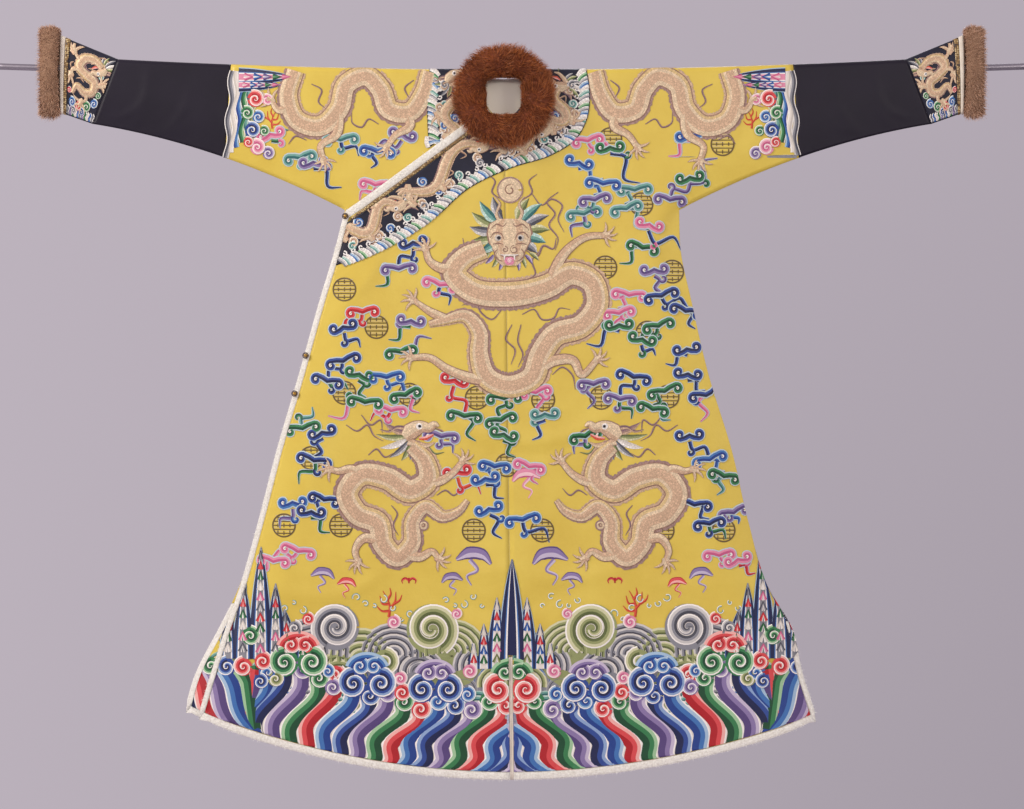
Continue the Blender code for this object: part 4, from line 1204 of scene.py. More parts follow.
def sleeve_end():
    """The border at the end of the yellow sleeve: waves along the seam, a small mountain and curls."""
    made = []
    for k, tone in enumerate(("grey", "white", "blue", "green", "sea", "olive")):
        t = np.linspace(0, 1, 40)
        x = 0.569 - 0.0095 * k - 0.012 * (1 - t) + 0.0035 * np.sin(2 * np.pi * 2.2 * t + 0.9 * k)
        path = np.stack([x, 0.006 - t * (0.172 - 0.010 * k)], axis=-1)
        dark, mid, pale = FLOSS[tone]
        made.append(stroke(path, 0.0125, [pale, mid, dark, FOAM], k % 2, (-1, -0.5, 0.1, 0.75, 1)))
    spire = peak(0, 0, 0.110, 0.019, ("pink", "green", "mauve", "blue"), 4)
    for half in (0.0, 0.016):
        made += set_down(spire, 0.545, -0.006 - half, 1 - 14 * half, 90)
    for x, z, radius, colour in (
        (512, -50, 16, "red"), (488, -52, 11, "pink"), (528, -78, 13, "green"),
        (506, -86, 12, "blue"), (518, -112, 15, "navy"), (494, -114, 10, "green"),
        (508, -146, 15, "pink"), (526, -136, 10, "red"), (486, -158, 12, "mauve"),
    ):
        made += swirl(*mm((x, z, radius)), colour, 1.3, 60, 1, 9)
    return made + coral(0.478, -0.088, 0.7)


small = []
for side in (-1, 1):
    small += bat(side * 0.205, -1.010) + coral(side * 0.245, -1.052)
    for x, z, colour, size, flip in (
        (78, -974, "mauve", 1.5, side), (118, -1012, "mauve", 0.9, -side), (378, -1004, "mauve", 1.0, side),
        (330, -1020, "red", 0.8, side),
    ):
        small += toadstool(*mm((side * x, z)), colour, size, flip)
small += toadstool(0.030, -0.810, "pink", 1.2)

# Medallions: round lattices of couched thread scattered over the ground, with their places in mm.
MEDALLIONS = (
    (-334, -430), (-270, -505), (-334, -636), (-204, -640), (-70, -646), (62, -650), (178, -646),
    (310, -644), (270, -516), (186, -386), (320, -394), (258, -260), (196, -130), (-400, -766),
    (-454, -900), (-340, -900), (-76, -910), (60, -910), (-10, -780), (300, -910), (422, -910), (420, -140),
)


def medallion(radius=0.024):
    """A round lattice of couched thread, in place of a figured roundel."""
    line, pale = "#6B5832", "#D9C48A"
    made = [stroke(coil(0, 0, radius * 0.94, 1.0, 90, 1, 1.0, 28), 0.0030, [line], 1)]
    for k in (-0.66, -0.33, 0.0, 0.33, 0.66):
        reach, z = radius * np.sqrt(1 - k * k) * 0.96, (k + 0.16) * radius
        made.append(stroke([(-reach, k * radius), (0, k * radius), (reach, k * radius)], 0.0022, [line], 1))
        made.append(stroke([(-reach, z), (reach, z)], 0.0016, [pale], 0, plump=0.0002))
    for k, share in ((-0.5, 0.85), (0.0, 0.98), (0.5, 0.85)):
        for z in (-0.82, -0.17, 0.5):
            post = [(k * radius, z * radius * share), (k * radius, (z + 0.34) * radius * share)]
            made.append(stroke(post, 0.0020, [line], 2))
    return made


wheels = [each for x, z in mm(MEDALLIONS) for each in set_down(medallion(), x, z)]
# The work lies on the outer front, on the under panel's shoulder and corner, and on the back.
right_shoulder, right_end = flipped(SHOULDER_DRAGON), flipped(sleeve_end())
for name, place, strokes, finish, side in (
    ("dragons_front", on_front, dragons, couched, -1),
    ("clouds_front", on_front, clouds_of(CLOUDS) + small, floss, -1),
    ("medallions_front", on_front, wheels + sleeve_end(), floss, -1),
    ("sea_border_front", on_front, sea, floss, -1),
    ("dragon_shoulder_right", on_under, right_shoulder, couched, -1),
    ("clouds_shoulder_right", on_under, clouds_of(UNDER_CLOUDS) + right_end, floss, -1),
    ("sea_border_corner", on_under, corner, floss, -1),
    ("dragons_back", on_back, dragons + right_shoulder, couched, 1),
    ("clouds_back", on_back, clouds_of(CLOUDS + UNDER_CLOUDS) + small, floss, 1),
    ("medallions_back", on_back, wheels + sleeve_end() + right_end, floss, 1),
    ("sea_border_back", on_back, sea, floss, 1),
):
    lay(name, place, strokes, finish, "yellow_satin", side)

# Collar bands: navy figured silk laid on the satin round the neck and along the diagonal, worked with
# gold dragons above a border of slanted stripes. On the back they make a shallow yoke.


def mottled(name, dark, light, scale, relief, detail=3.0, ends=(0, 1), **inputs):
    """A finish in noise between two tones, raised by the same noise or a finer one.

    Relief is the finer noise's scale or none, the bump's strength and its depth."""
    made, tree, shader = finish_of(name, **inputs)
    place = add(tree, "TexCoord").outputs["Object"]
    shade = add(tree, "TexNoise", {"Vector": place, "Scale": scale, "Detail": detail}).outputs["Fac"]
    tint = add(tree, "ValToRGB", {"Fac": shade}, ((ends[0], dark), (ends[1], light))).outputs[0]
    tree.links.new(tint, shader.inputs["Base Color"])
    grain, strength, depth = relief
    if grain:
        shade = add(tree, "TexNoise", {"Vector": place, "Scale": grain}).outputs["Fac"]
    lift = add(tree, "Bump", {"Height": shade, "Strength": strength, "Distance": depth}).outputs[0]
    tree.links.new(lift, shader.inputs["Normal"])
    return made


band_silk = mottled(
    "navy_figured_silk", "#12131F", "#232437", 60.0, (700.0, 0.3, 0.0004),
    Roughness=0.55, Sheen_Weight=0.08, Sheen_Roughness=0.5, Specular_IOR_Level=0.3,
)

# Brocade ribbon: brown silk with gold and white figures 4 mm apart along it.
brocade, tree, shader = finish_of("gold_figured_brocade", Roughness=0.45)
place = add(tree, "TexCoord").outputs["Object"]
figures = add(tree, "TexVoronoi", {"Vector": place, "Scale": 250.0, "Randomness": 0.55})
tint = add(tree, "ValToRGB", {"Fac": figures.outputs["Distance"]})
tint.color_ramp.interpolation = "CONSTANT"
tint.color_ramp.elements[0].color, tint.color_ramp.elements[1].color = linear("#CDBB8A"), linear("#3A2C22")
tint.color_ramp.elements[1].position = 0.62
middle = tint.color_ramp.elements.new(0.34)
middle.color = linear("#8A6A38")
tree.links.new(tint.outputs[0], shader.inputs["Base Color"])
lift = add(tree, "Bump", {"Height": figures.outputs[0], "Strength": -0.4, "Distance": 0.0006}).outputs[0]
tree.links.new(lift, shader.inputs["Normal"])

RIBBON = 0.006
ribbon_low = FLAP_SLANT * (FLAP_FUR + 2 * GAP + RIBBON)
BAND_FRONT = curve(mm(
    [(148, 14), (155, -30), (150, -90), (128, -130), (80, -162), (0, -188), (-84, -228), (-170, -303),
     (-252, -352), (-400, -410)]
), 12)
seam = centre(np.array(-0.1))
turn = np.radians(np.linspace(0, 90, 37))
BACK_LEFT, BACK_RIGHT = (
    np.stack([seam + reach * np.cos(turn), top(0) - 0.165 * np.sin(turn)], axis=-1)
    for reach in (0.148 - seam, -0.148)
)
steps = np.linspace(0, 1, 15)[:, None]
BAND_UNDER = np.concatenate(
    [curve(mm([(-164, 14), (-169, -30), (-169, -90), (-166, -148)]), 12),
     (-0.166, -0.148) + steps[1:] * (0.104, 0.0765)]
)


def round_neck(line, drop):
    """Rays from the neck's rim out to a line, with rows crowded towards the rim's own shape."""
    line = line[line[:, 1] <= top(line[:, 0])]
    line = np.concatenate([[(line[0, 0], top(line[0, 0]))], line])
    away = line - (NECK_X, top(NECK_X))
    rim = away / np.hypot(away[:, 0] / NECK_HALF, away[:, 1] / drop)[:, None] + (NECK_X, top(NECK_X))
    t = np.linspace(0, 1, 22)[:, None, None]
    grid = rim * 1.0001 * (1 - t) + line * t
    return grid[..., 0], np.minimum(grid[..., 1], top(grid[..., 0]))


def along_flap(low_line):
    """The diagonal band: columns from the centre seam to the side, rows from the ribbon to the lower line."""
    start = seam - GAP
    reach = np.linspace(0, 1, 60)
    x = start + reach * (-ARMPIT_X + SIDE_FUR + GAP - start)
    low = through(low_line[::-1, 0], low_line[::-1, 1], x)
    z = flap(x) - ribbon_low - GAP + np.linspace(0, 1, 26)[:, None] * (low - flap(x) + ribbon_low + GAP)
    edge = -through(DEPTH, OVERLAP_SIDE, -z) + SIDE_FUR + GAP
    return start + reach * (edge - start), z


left_line = BAND_FRONT[BAND_FRONT[:, 0] > seam + GAP]
band_grids = (
    ("left", "over", round_neck(left_line, NECK_DROP), (0.17, 0.21, 0.026)),
    ("overlap", "over", along_flap(BAND_FRONT), (0.36, 0.16, 0.035)),
    ("under", "under", round_neck(BAND_UNDER, NECK_DROP), (0.11, 0.17, 0.0138)),
    ("back_left", "back", round_neck(BACK_LEFT, NAPE_DROP), (0.17, 0.18, 0.021)),
    ("back_right", "back", round_neck(BACK_RIGHT, NAPE_DROP), (0.15, 0.18, 0.0207)),
)
for label, layer, (x, z), (width, length, area) in band_grids:
    if label.startswith("back"):
        x = np.maximum(x, seam + GAP) if label == "back_left" else np.minimum(x, seam - GAP)
    band = wall(
        f"collar_band_silk_{label}", layer, x, z, lattice(*x.shape), (GAP + SATIN, GAP),
        band_silk, "collar_band", [f"collar_band_{label}"],
    )
x = np.linspace(seam - GAP, -ARMPIT_X + SIDE_FUR + GAP, 90)
rows = np.linspace(0, 1, 5)[:, None]
z = flap(x) - FLAP_SLANT * (FLAP_FUR + 2 * GAP) - rows * FLAP_SLANT * (RIBBON - GAP)
ribbon = wall(
    "flap_ribbon_brocade", "over", np.broadcast_to(x, z.shape), z, lattice(*z.shape),
    (GAP + 0.0008, GAP), brocade, "brocade", ["flap_ribbon"],
)


def on_band(layer):
    """Stitches on a collar band, kept off the fold and off the ribbon."""
    def place(x, z, rise):
        z = np.minimum(z, top(x) - 0.0005)
        if layer == "back":
            z = np.minimum(z, top(x) - 0.006)
        if layer == "over":
            z = np.where(x < seam, np.minimum(z, flap(x) - ribbon_low - 0.001), z)
            x = np.maximum(x, -through(DEPTH, OVERLAP_SIDE, -z) + SIDE_FUR + 2 * GAP)
        return on_layer(layer, x, z, GAP + SATIN + 0.0003 + rise)
    return place


def band_border(line, inwards):
    """The border along a band's lower line: slanted stripes 20 mm deep under a row of white foam."""
    long = reached(line)
    made = []
    for k in range(int(long[-1] / 0.0088)):
        s = 0.004 + 0.0088 * k
        foot, head = (np.array([np.interp(at, long, line[:, i]) for i in (0, 1)]) for at in (s, s + 0.014))
        ahead = unit(head - foot)
        up = np.array([-ahead[1], ahead[0]]) * inwards
        path = curve([foot + rise * up + on * ahead for rise, on in mm(((1.5, 0), (11, 3), (21, 11)))], 4)
        _, mid, pale = FLOSS[("white", "green", "grey", "blue", "white", "sea", "grey")[k % 7]]
        made.append(stroke(path, (0.008, 0.0092, 0.0075), [FOAM, pale, mid], k % 2, (-1, -0.6, 0.2, 1)))
        if k % 2:
            tip = foot + up * 0.026 + ahead * 0.012
            made.append(stroke(coil(*tip, 0.0045, 0.9, 40 * k, inwards, 0.4, 10), 0.0028, [FOAM], 2))
        if k % 5 == 2:
            tip = foot + up * 0.034 + ahead * 0.010
            made += swirl(*tip, 0.0085, ("blue", "sea", "grey")[k % 3], 1.2, 40 * k, 1, 2)
    return made


def band_dragon(line, first, last, inwards, depth, turn):
    """A slim gold dragon that winds along a band between two shares of its lower line."""
    share = np.linspace(first, last, 12)
    count = np.linspace(0, 1, len(line))
    spine = np.stack([np.interp(share, count, line[:, i]) for i in (0, 1)], axis=-1)
    ahead = unit(np.gradient(spine, axis=0))
    up = np.stack([-ahead[:, 1], ahead[:, 0]], axis=-1) * inwards
    wave = depth * (1 + 0.30 * np.sin(np.linspace(0, 2.6 * np.pi, 12)))[:, None]
    body = spine + up * wave
    made = serpent(body, (10, 19, 22, 21, 17, 7))
    for k, way in ((3, 60), (5, -70), (8, 80), (9, -50)):
        foot = body[k] + up[k] * (0.024 if way > 0 else -0.020) + ahead[k] * 0.014
        made += leg([body[k], (body[k] + foot) / 2 + ahead[k] * 0.006, foot], way + turn, 0.012)
    for k in (1, 2, 4, 6, 7, 10):
        tip = body[k] + up[k] * (0.030 if k % 2 else -0.024)
        made.append(flame([body[k] + ahead[k] * 0.012, tip, tip + ahead[k] * 0.012], 0.0034, "gold"))
    for k in range(1, 11, 2):
        place = body[k] - up[k] * wave[k] * (0.42 if k % 4 == 1 else -0.50)
        made += swirl(*place, 0.0095, ("gold", "sea", "gold", "blue", "gold")[k // 2], 1.3, 70 * k, 1, 1)
    return made + set_down(dragon_profile(), *(body[0] + (0, 0.004)), 0.62, turn)


def band_work(line, inwards, dragons):
    """A band's border and its dragons: each one's share of the line, its depth and its head's turn."""
    made = band_border(line, inwards)
    for first, last, depth, turn in dragons:
        made += band_dragon(line, first, last, inwards, depth, turn)
    return made


diagonal = BAND_FRONT[(BAND_FRONT[:, 0] < seam) & (BAND_FRONT[:, 0] > -0.345)]
for label, layer, line, inwards, dragons, side in (
    ("left", "over", left_line, -1, ((0.10, 0.62, 0.056, 150), (0.66, 0.98, 0.052, 200)), -1),
    ("overlap", "over", diagonal, -1, ((0.04, 0.52, 0.064, 190), (0.56, 0.96, 0.066, 190)), -1),
    ("under", "under", BAND_UNDER[:38], 1, ((0.15, 0.9, 0.050, 20),), -1),
    ("back_left", "back", BACK_LEFT, -1, ((0.06, 0.94, 0.056, 150),), 1),
    ("back_right", "back", BACK_RIGHT, 1, ((0.06, 0.94, 0.056, 30),), 1),
):
    work = band_work(line, inwards, dragons)
    lay(f"band_work_{label}", on_band(layer), work, couched, "collar_band", side)

# White fur edging: the lambskin lining turned out at every cut edge and sewn down as a flat roll, with
# a short soft pile. A cream satin piping takes its place along the slits.
white_fur = mottled(
    "white_lambskin_edging", "#DCD8CC", "#F4F3E9", 260.0, (None, 0.8, 0.002), ends=(0.32, 0.68),
    Roughness=0.85, Sheen_Weight=0.6, Sheen_Roughness=0.5,
)
cream = mottled(
    "cream_satin", "#D2C5AE", "#F2EADB", 45.0, (500.0, 0.25, 0.0004), Roughness=0.5, Sheen_Weight=0.2
)
PILE_COLUMNS = 4


def pile(base, normal, comb, length, width, droop, seed, name, material, slot, curl=0.35):
    """Hairs as tapered blades, each a parabola: along its normal, then over towards its comb direction.

    Each hair's share of a random table gives it its own length, lean and tone."""
    draw = np.random.default_rng(seed)
    count = len(base)
    lean = draw.normal(0, curl, (count, 3))
    reach = length * draw.uniform(0.65, 1.25, (count, 1, 1))
    t = np.linspace(0, 1, PILE_COLUMNS)[None, :, None]
    way = unit(normal + 0.5 * lean)
    over = comb + lean
    line = base[:, None] + reach * (way[:, None] * (t - 0.35 * t**2) + droop * over[:, None] * t**2)
    across = unit(np.cross(way + over, draw.normal(0, 1, (count, 3))))
    half = width / 2 * (1 - 0.9 * t) * np.ones((count, 1, 1))
    points = np.stack([line - half * across[:, None], line + half * across[:, None]], axis=2)
    one = np.arange(PILE_COLUMNS - 1)[:, None] * 2 + np.array([0, 1, 3, 2])
    faces = (np.arange(count)[:, None, None] * 2 * PILE_COLUMNS + one).reshape(-1, 4)
    shade = np.repeat(draw.uniform(0, 1, count), 2 * PILE_COLUMNS)
    along = np.tile(np.repeat(t.ravel(), 2), count)
    return make(name, points, faces, material, slot, uv=np.stack([shade, along], axis=-1))


def edging(name, layer, inner, outer, material, slot, bulge):
    """A closed strip between two lines of x and z, with a rounded face, on the layer's own wall."""
    across = np.array([0, 0.08, 0.25, 0.5, 0.75, 0.92, 1, 1, 0.7, 0])
    rise = np.array([0, 0.55, 0.9, 1, 0.9, 0.5, 0, 0, 0, 0]) * bulge
    sink = np.array([0, 0, 0, 0, 0, 0, 0.0008, PANEL - 0.0006, PANEL, PANEL])
    line = inner[:, None] + across[None, :, None] * (outer - inner)[:, None]
    rings = on_layer(layer, line[..., 0], line[..., 1], np.broadcast_to(rise - sink, line.shape[:2]))
    return make(name, *capped_tube(rings), material, slot, [name])


def strip_hairs(layer, inner, outer, spacing, seed):
    """Roots spread evenly over a strip, with the directions out of it and across it."""
    draw = np.random.default_rng(seed)
    station = reached(inner)
    wide = np.linalg.norm(outer - inner, axis=1).mean()
    count = int(station[-1] * wide / spacing**2)
    s, v = draw.uniform(0, station[-1], count), draw.uniform(0, 1, count)
    near, far = (np.stack([np.interp(s, station, line[:, i]) for i in (0, 1)], -1) for line in (inner, outer))
    spot = near + v[:, None] * (far - near)
    clear = np.hypot((spot[:, 0] - NECK_X) / NECK_HALF, (spot[:, 1] - top(0)) / NECK_DROP) > 1.1
    spot, near, far, v = spot[clear], near[clear], far[clear], v[clear]
    base = on_layer(layer, spot[:, 0], spot[:, 1], 0.0014 * np.sin(np.pi * v))
    normal = on_layer(layer, spot[:, 0], spot[:, 1], 0.004) - on_layer(layer, spot[:, 0], spot[:, 1], 0.003)
    out = unit(far - near)
    comb = np.stack([out[:, 0] * (2 * v - 0.7), normal[:, 1] * 0, out[:, 1] * (2 * v - 0.7)], -1)
    return base, unit(normal), comb


hairs = []
for label, (layer, side, (x, z)) in bodies.items():
    grid = np.stack([x, z], axis=-1)
    outwards, down = np.array([side, 0]), np.array([0, -1])
    bulge = 0.0 if label == "under" else 0.0018
    opening = np.flatnonzero(z[:, 0] < slit_top - 0.002)
    mitre = grid[-1, -1] + outwards * SIDE_FUR + down * HEM_FUR

    outer = grid[-1] + down * (GAP + HEM_FUR)
    outer[-1] = mitre + down * GAP
    strips = [(f"hem_fur_{label}", grid[-1] + down * GAP, outer)]
    edge = grid[:, -1] if label == "overlap" else grid[opening, -1]
    outer = edge + outwards * (GAP + SIDE_FUR)
    outer[-1] = mitre + outwards * GAP
    if label == "overlap":
        outer[0] = (-ARMPIT_X, flap(-ARMPIT_X) - GAP)
        clear = np.hypot((x[0] - NECK_X) / NECK_HALF, (z[0] - top(0)) / NECK_DROP) > 1.03
        flap_edge = grid[0][clear]
        up = np.array([-FLAP_SLOPE, 1]) / FLAP_SLANT
        flap_outer = flap_edge + up * (GAP + FLAP_FUR)
        flap_outer[-1] = (-ARMPIT_X + GAP, flap(-ARMPIT_X) + GAP)
        strips.append(("side_fur_overlap", edge + outwards * GAP, outer))
        strips.append(("flap_fur", flap_edge + up * GAP, flap_outer))
    else:
        strips.append((f"vent_fur_{label}", edge + outwards * GAP, outer))
    for name, inner, outer in strips:
        edging(name, layer, inner, outer, white_fur, "white_fur", bulge)
        if label != "under" or name.startswith("hem"):
            hairs.append(strip_hairs(layer, inner, outer, 0.0024, len(hairs)))
    if label != "under":
        slit = grid[opening, 0]
        slit = np.concatenate([slit, slit[-1:] + down * HEM_FUR])
        inner, outer = (slit - outwards * out for out in (GAP, GAP + SLIT_EDGE))
        edging(f"slit_edge_{label}", layer, inner, outer, cream, "cream_satin", 0.0004)
hair_white = finish_of("lambskin_hair", Roughness=0.6, Base_Color=linear("#F4F3E8"))[0]
pile(
    *(np.concatenate(part) for part in zip(*hairs, strict=True)),
    0.0045, 0.0007, 0.5, 5, "white_fur_pile", hair_white, "white_fur",
)

# Neck facing: cream satin on the inside of the back, seen through the collar. Its colour is a near-white copy
# of the cream satin, brightened as painted light against the shade of the fur collar.
facing_x, facing_z = np.meshgrid(NECK_X + np.linspace(-0.075, 0.075, 31), np.linspace(-0.012, -0.130, 25))
sheets = [on_layer("back", facing_x, facing_z, -PANEL - out).reshape(-1, 3) for out in (0.0018, 0.0006)]
points, faces = thick(*sheets, lattice(*facing_x.shape))
# Painted light: the cream satin brightened nearly to white, a lit copy of it.
facing_satin_painted_light = finish_of(
    "neck_facing_satin_painted_light", Roughness=0.4, Sheen_Weight=0.1, Base_Color=linear("#FBF2E0")
)[0]
facing = make("neck_facing_satin_painted_light", points, faces, facing_satin_painted_light, "cream_satin", ["neck_facing"])

# Sleeve pieces: plain navy silk satin let in between the yellow sleeve and the cuff, as flat tubes
# over the rod with a few soft folds towards the lower seam.
navy, tree, shader = finish_of("navy_satin", Roughness=0.45, Sheen_Weight=0.04, Specular_IOR_Level=0.25)
place = add(tree, "TexCoord").outputs["Object"]
shade = add(tree, "TexNoise", {"Vector": place, "Scale": 12.0, "Detail": 3.0}).outputs["Fac"]
tint = add(tree, "ValToRGB", {"Fac": shade}, ((0, "#15111C"), (1, "#1F1928"))).outputs[0]
tree.links.new(tint, shader.inputs["Base Color"])
ribs = add(tree, "TexWave", {"Vector": place, "Scale": 320.0, "Distortion": 0.5}, bands_direction="Z")
lift = add(tree, "Bump", {"Height": ribs.outputs["Fac"], "Strength": 0.2, "Distance": 0.0003}).outputs[0]
tree.links.new(lift, shader.inputs["Normal"])

HALF_ROUND = np.concatenate([0.1 * (1 - np.cos(np.linspace(0, np.pi / 2, 9))), np.linspace(0.1, 1, 31)[1:]])
SLEEVE_CREASES = (
    (660, -80, 60, 9, 1.2, -58), (730, -50, 80, 12, 1.3, -76), (620, -40, 50, 10, 0.9, 66),
    (760, -75, 40, 8, 1, -35), (690, -120, 60, 8, 0.8, -12), (860, -20, 30, 6, 0.8, 80),
)


def loop(share_of_drop, depth, x, high, low):
    """Closed rings of a sleeve: down the front from the top line and up the back."""
    z = high - share_of_drop * (high - low)
    x, depth, z = np.broadcast_arrays(x, depth, z)
    front = np.stack([x, -depth, z], axis=-1)
    back = np.stack([x, depth, z], axis=-1)[:, 1:-1][:, ::-1]
    return np.concatenate([front, back], axis=1)


def folds(x, z, low, high):
    """Crease heights that fade out at the top line and the lower seam."""
    edge = eased((high - z) / 0.03) * eased((z - low) / 0.03)
    return edge * creased(x, z, SLEEVE_CREASES)


def sleeve_rings(seam_a, seam_b, shares):
    """Rings on the hanging shape between two seams, each leaning from the top line to the lower seam."""
    ends = [a + (b - a) * HALF_ROUND for a, b in (seam_a, seam_b)]
    x = ends[0] + np.asarray(shares)[:, None] * (ends[1] - ends[0])
    high, low = top(x), sleeve_low(x)
    z = high - HALF_ROUND * (high - low)
    return loop(HALF_ROUND, half_depth(x, z) + folds(x, z, low, high), x, high, low)


def tube_normals(rings):
    """Outward directions of a tube's points, from its neighbours along and around."""
    around = np.roll(rings, -1, axis=1) - np.roll(rings, 1, axis=1)
    normal = unit(np.cross(np.gradient(rings, axis=0), around))
    middle = rings.mean(axis=1, keepdims=True)
    return normal * np.sign(((rings - middle) * normal).sum(axis=(1, 2), keepdims=True))


def sleeve_tube(name, rings, low, high, material, slot, replaces):
    """A wall that follows rings, from low to high along the outward directions."""
    normal = tube_normals(rings)
    outer, inner = ((rings + out * normal).reshape(-1, 3) for out in (high, low))
    points, faces = thick(outer, inner, lattice(*rings.shape[:2], round_columns=True))
    uv = np.tile(rings.reshape(-1, 3)[:, [0, 2]], (2, 1))
    return make(name, points, faces, material, slot, replaces, uv=uv)


def blend(first, last, shares):
    """Rings between a first and a last one, by shares of the way."""
    return first + np.asarray(shares)[:, None, None] * (last - first)


def mirrored(rings, side):
    """The wearer's left sleeve turned to the right by a change of sign, its rings in reverse order."""
    return rings if side > 0 else rings[::-1] * np.array([-1, 1, 1])


for side, label in ((1, "left"), (-1, "right")):
    rings = sleeve_rings(
        (SLEEVE_END[0] + GAP, SLEEVE_END[1] + GAP), (CUFF_SEAM[0] - GAP / 2, CUFF_SEAM[1] - GAP / 2),
        np.linspace(0, 1, 41),
    )
    piece = sleeve_tube(
        f"navy_sleeve_{label}", mirrored(rings, side), -TUBE, 0, navy, "navy_satin", [f"sleeve_piece_{label}"]
    )

# Cuffs: flared horse-hoof ends of embroidered navy silk, each edged with a brocade ribbon, a cream
# satin piping and a thick roll of tan fur.
def cuff_end_ring(x):
    """The cuff's open end: a lens with rounded top and bottom."""
    depth = 0.003 * (HALF_ROUND > 0) + 0.010 * np.sin(np.pi * HALF_ROUND) ** 0.7
    return loop(HALF_ROUND[None], depth[None], np.full((1, len(HALF_ROUND)), x), CUFF_TOP, CUFF_LOW)[0]


cuff_start = sleeve_rings((CUFF_SEAM[0] + GAP / 2, CUFF_SEAM[1] + GAP / 2), CUFF_SEAM, [0.0])[0]
cuff_stop = cuff_end_ring(CUFF_END - GAP)


def cuff_at(shares):
    """The cuff's rings, straight from its seam to its open end."""
    return blend(cuff_start, cuff_stop, shares)


for side, label in ((1, "left"), (-1, "right")):
    pieces = (
        ("cuff", np.linspace(0, 1, 21), -TUBE, 0, band_silk, "collar_band"),
        ("cuff_ribbon", np.linspace(0.83, 0.91, 4), GAP, GAP + 0.0008, brocade, "brocade"),
        ("cuff_edging", np.linspace(0.9154, 1, 4), GAP, GAP + 0.0012, cream, "cream_satin"),
    )
    for name, shares, low, high, material, slot in pieces:
        rings = mirrored(cuff_at(shares), side)
        replaces = [f"{name}_{label}"]
        piece = sleeve_tube(f"{name}_silk_{label}", rings, low, high, material, slot, replaces)


def on_cuff(side):
    """Stitches on a cuff's front: x is metres from the seam to the open end, z from the top line down."""
    rings = cuff_at(np.linspace(0, 1, 41))
    normal = tube_normals(rings)
    both = np.concatenate([rings, normal], axis=-1)[:, : len(HALF_ROUND)]

    def place(x, z, rise):
        """Each point between four of the rings' own, and its height along their mixed direction."""
        s = np.clip(x / 0.115, 0.012, 0.815) * 40
        t = np.interp((CUFF_TOP - z) / (CUFF_TOP - CUFF_LOW), HALF_ROUND, np.arange(len(HALF_ROUND)))
        t = np.clip(t, 4, len(HALF_ROUND) - 1.5)
        i, j = s.astype(int), t.astype(int)
        u, v = (s - i)[:, None], (t - j)[:, None]
        near = both[i, j] * (1 - v) + both[i, j + 1] * v
        far = both[i + 1, j] * (1 - v) + both[i + 1, j + 1] * v
        mixed = near * (1 - u) + far * u
        return (mixed[:, :3] + (0.0004 + rise)[:, None] * mixed[:, 3:]) * (side, 1, 1)

    return place


def cuff_work():
    """A gold dragon over curling waves, with stripes of water along the lower edge and the seam."""
    made = serpent(
        mm([(22, 46), (40, 56), (62, 50), (70, 30), (50, 18), (30, 10), (28, -10), (48, -18),
            (70, -10), (80, -28)]),
        (14, 18, 20, 19, 16, 8),
    )
    for turn, points in (
        (60, [(66, 42), (78, 50), (86, 58)]), (150, [(36, 10), (20, 2), (12, 10)]),
        (-60, [(46, -16), (40, -32), (52, -40)]), (-40, [(70, 26), (84, 20), (88, 8)]),
    ):
        made += leg(mm(points), turn, 0.011)
    made += set_down(dragon_profile(), 0.024, 0.042, 0.55, 160, -1)
    for line in (
        [(10, 60), (20, 66), (34, 64)], [(50, 34), (40, 36), (36, 28)], [(54, 2), (64, 8), (74, 4)],
        [(84, 36), (90, 30), (88, 22)],
    ):
        made.append(flame(mm(line), 0.0034, "gold"))
    for x, z, radius, colour in (
        (16, -34, 10, "blue"), (34, -46, 11, "green"), (58, -50, 10, "red"), (78, -46, 10, "blue"),
        (12, -14, 7, "green"), (88, -24, 6, "red"), (18, 26, 6, "sea"), (46, -60, 8, "navy"),
        (72, -62, 8, "grey"),
    ):
        made += swirl(*mm((x, z, radius)), colour, 1.3, 60, 1, 6)
    for k in range(12):
        x = 0.004 + 0.0082 * k
        dark, mid, _ = FLOSS[("grey", "blue", "white", "green", "mauve")[k % 5]]
        path = curve([(x, -0.074), (x + 0.004, -0.068), (x + 0.001, -0.062), (x + 0.006, -0.056)], 4)
        made.append(stroke(path, (0.009, 0.008, 0.005), [dark, mid, FOAM], k % 2, (-1, -0.3, 0.5, 1)))
    return made


lay("cuff_work_left", on_cuff(1), cuff_work(), couched, "collar_band")
lay("cuff_work_right", on_cuff(-1), cuff_work(), couched, "collar_band")
FUR_HALF, FUR_DEEP, FUR_WIDE, FUR_THICK = 0.0815, 0.0215, 0.0205, 0.011


def fur_finish(name, dark, light, tip):
    """Guard hair: each hair's own share between two tones, lighter towards its tip."""
    made, tree, shader = finish_of(name, Roughness=0.45, Specular_IOR_Level=0.35)
    parts = add(tree, "SeparateXYZ", {"Vector": add(tree, "UVMap", uv_map="Thread").outputs[0]})
    place = add(tree, "TexCoord").outputs["Object"]
    patches = add(tree, "TexNoise", {"Vector": place, "Scale": 30.0, "Detail": 2.0}).outputs["Fac"]
    share = add(tree, "Mix", {"Factor": 0.62, "A": parts.outputs["X"], "B": patches}).outputs[0]
    own = add(tree, "ValToRGB", {"Fac": share}, ((0.30, dark), (0.72, light))).outputs[0]
    up = add(tree, "MapRange", {"Value": parts.outputs["Y"], "From Min": 0.45, "To Max": 0.7}).outputs[0]
    tipped = add(tree, "Mix", {"Factor": up, "A": own, "B": linear(tip)}, data_type="RGBA")
    tree.links.new(tipped.outputs["Result"], shader.inputs["Base Color"])
    return made


# The close under-coat below the guard hair is mottled and matt.
tan_coat = mottled("tan_under_coat", "#6B4E3A", "#A07D62", 90.0, (None, 0.8, 0.003), 4.0, Roughness=0.9)
tan_hair = fur_finish("tan_guard_hair", "#86624C", "#CBA184", "#DDB99C")
ring_turn, ring_section = np.linspace(0, 2 * np.pi, 73)[:-1, None], np.linspace(0, 2 * np.pi, 25)[:-1]


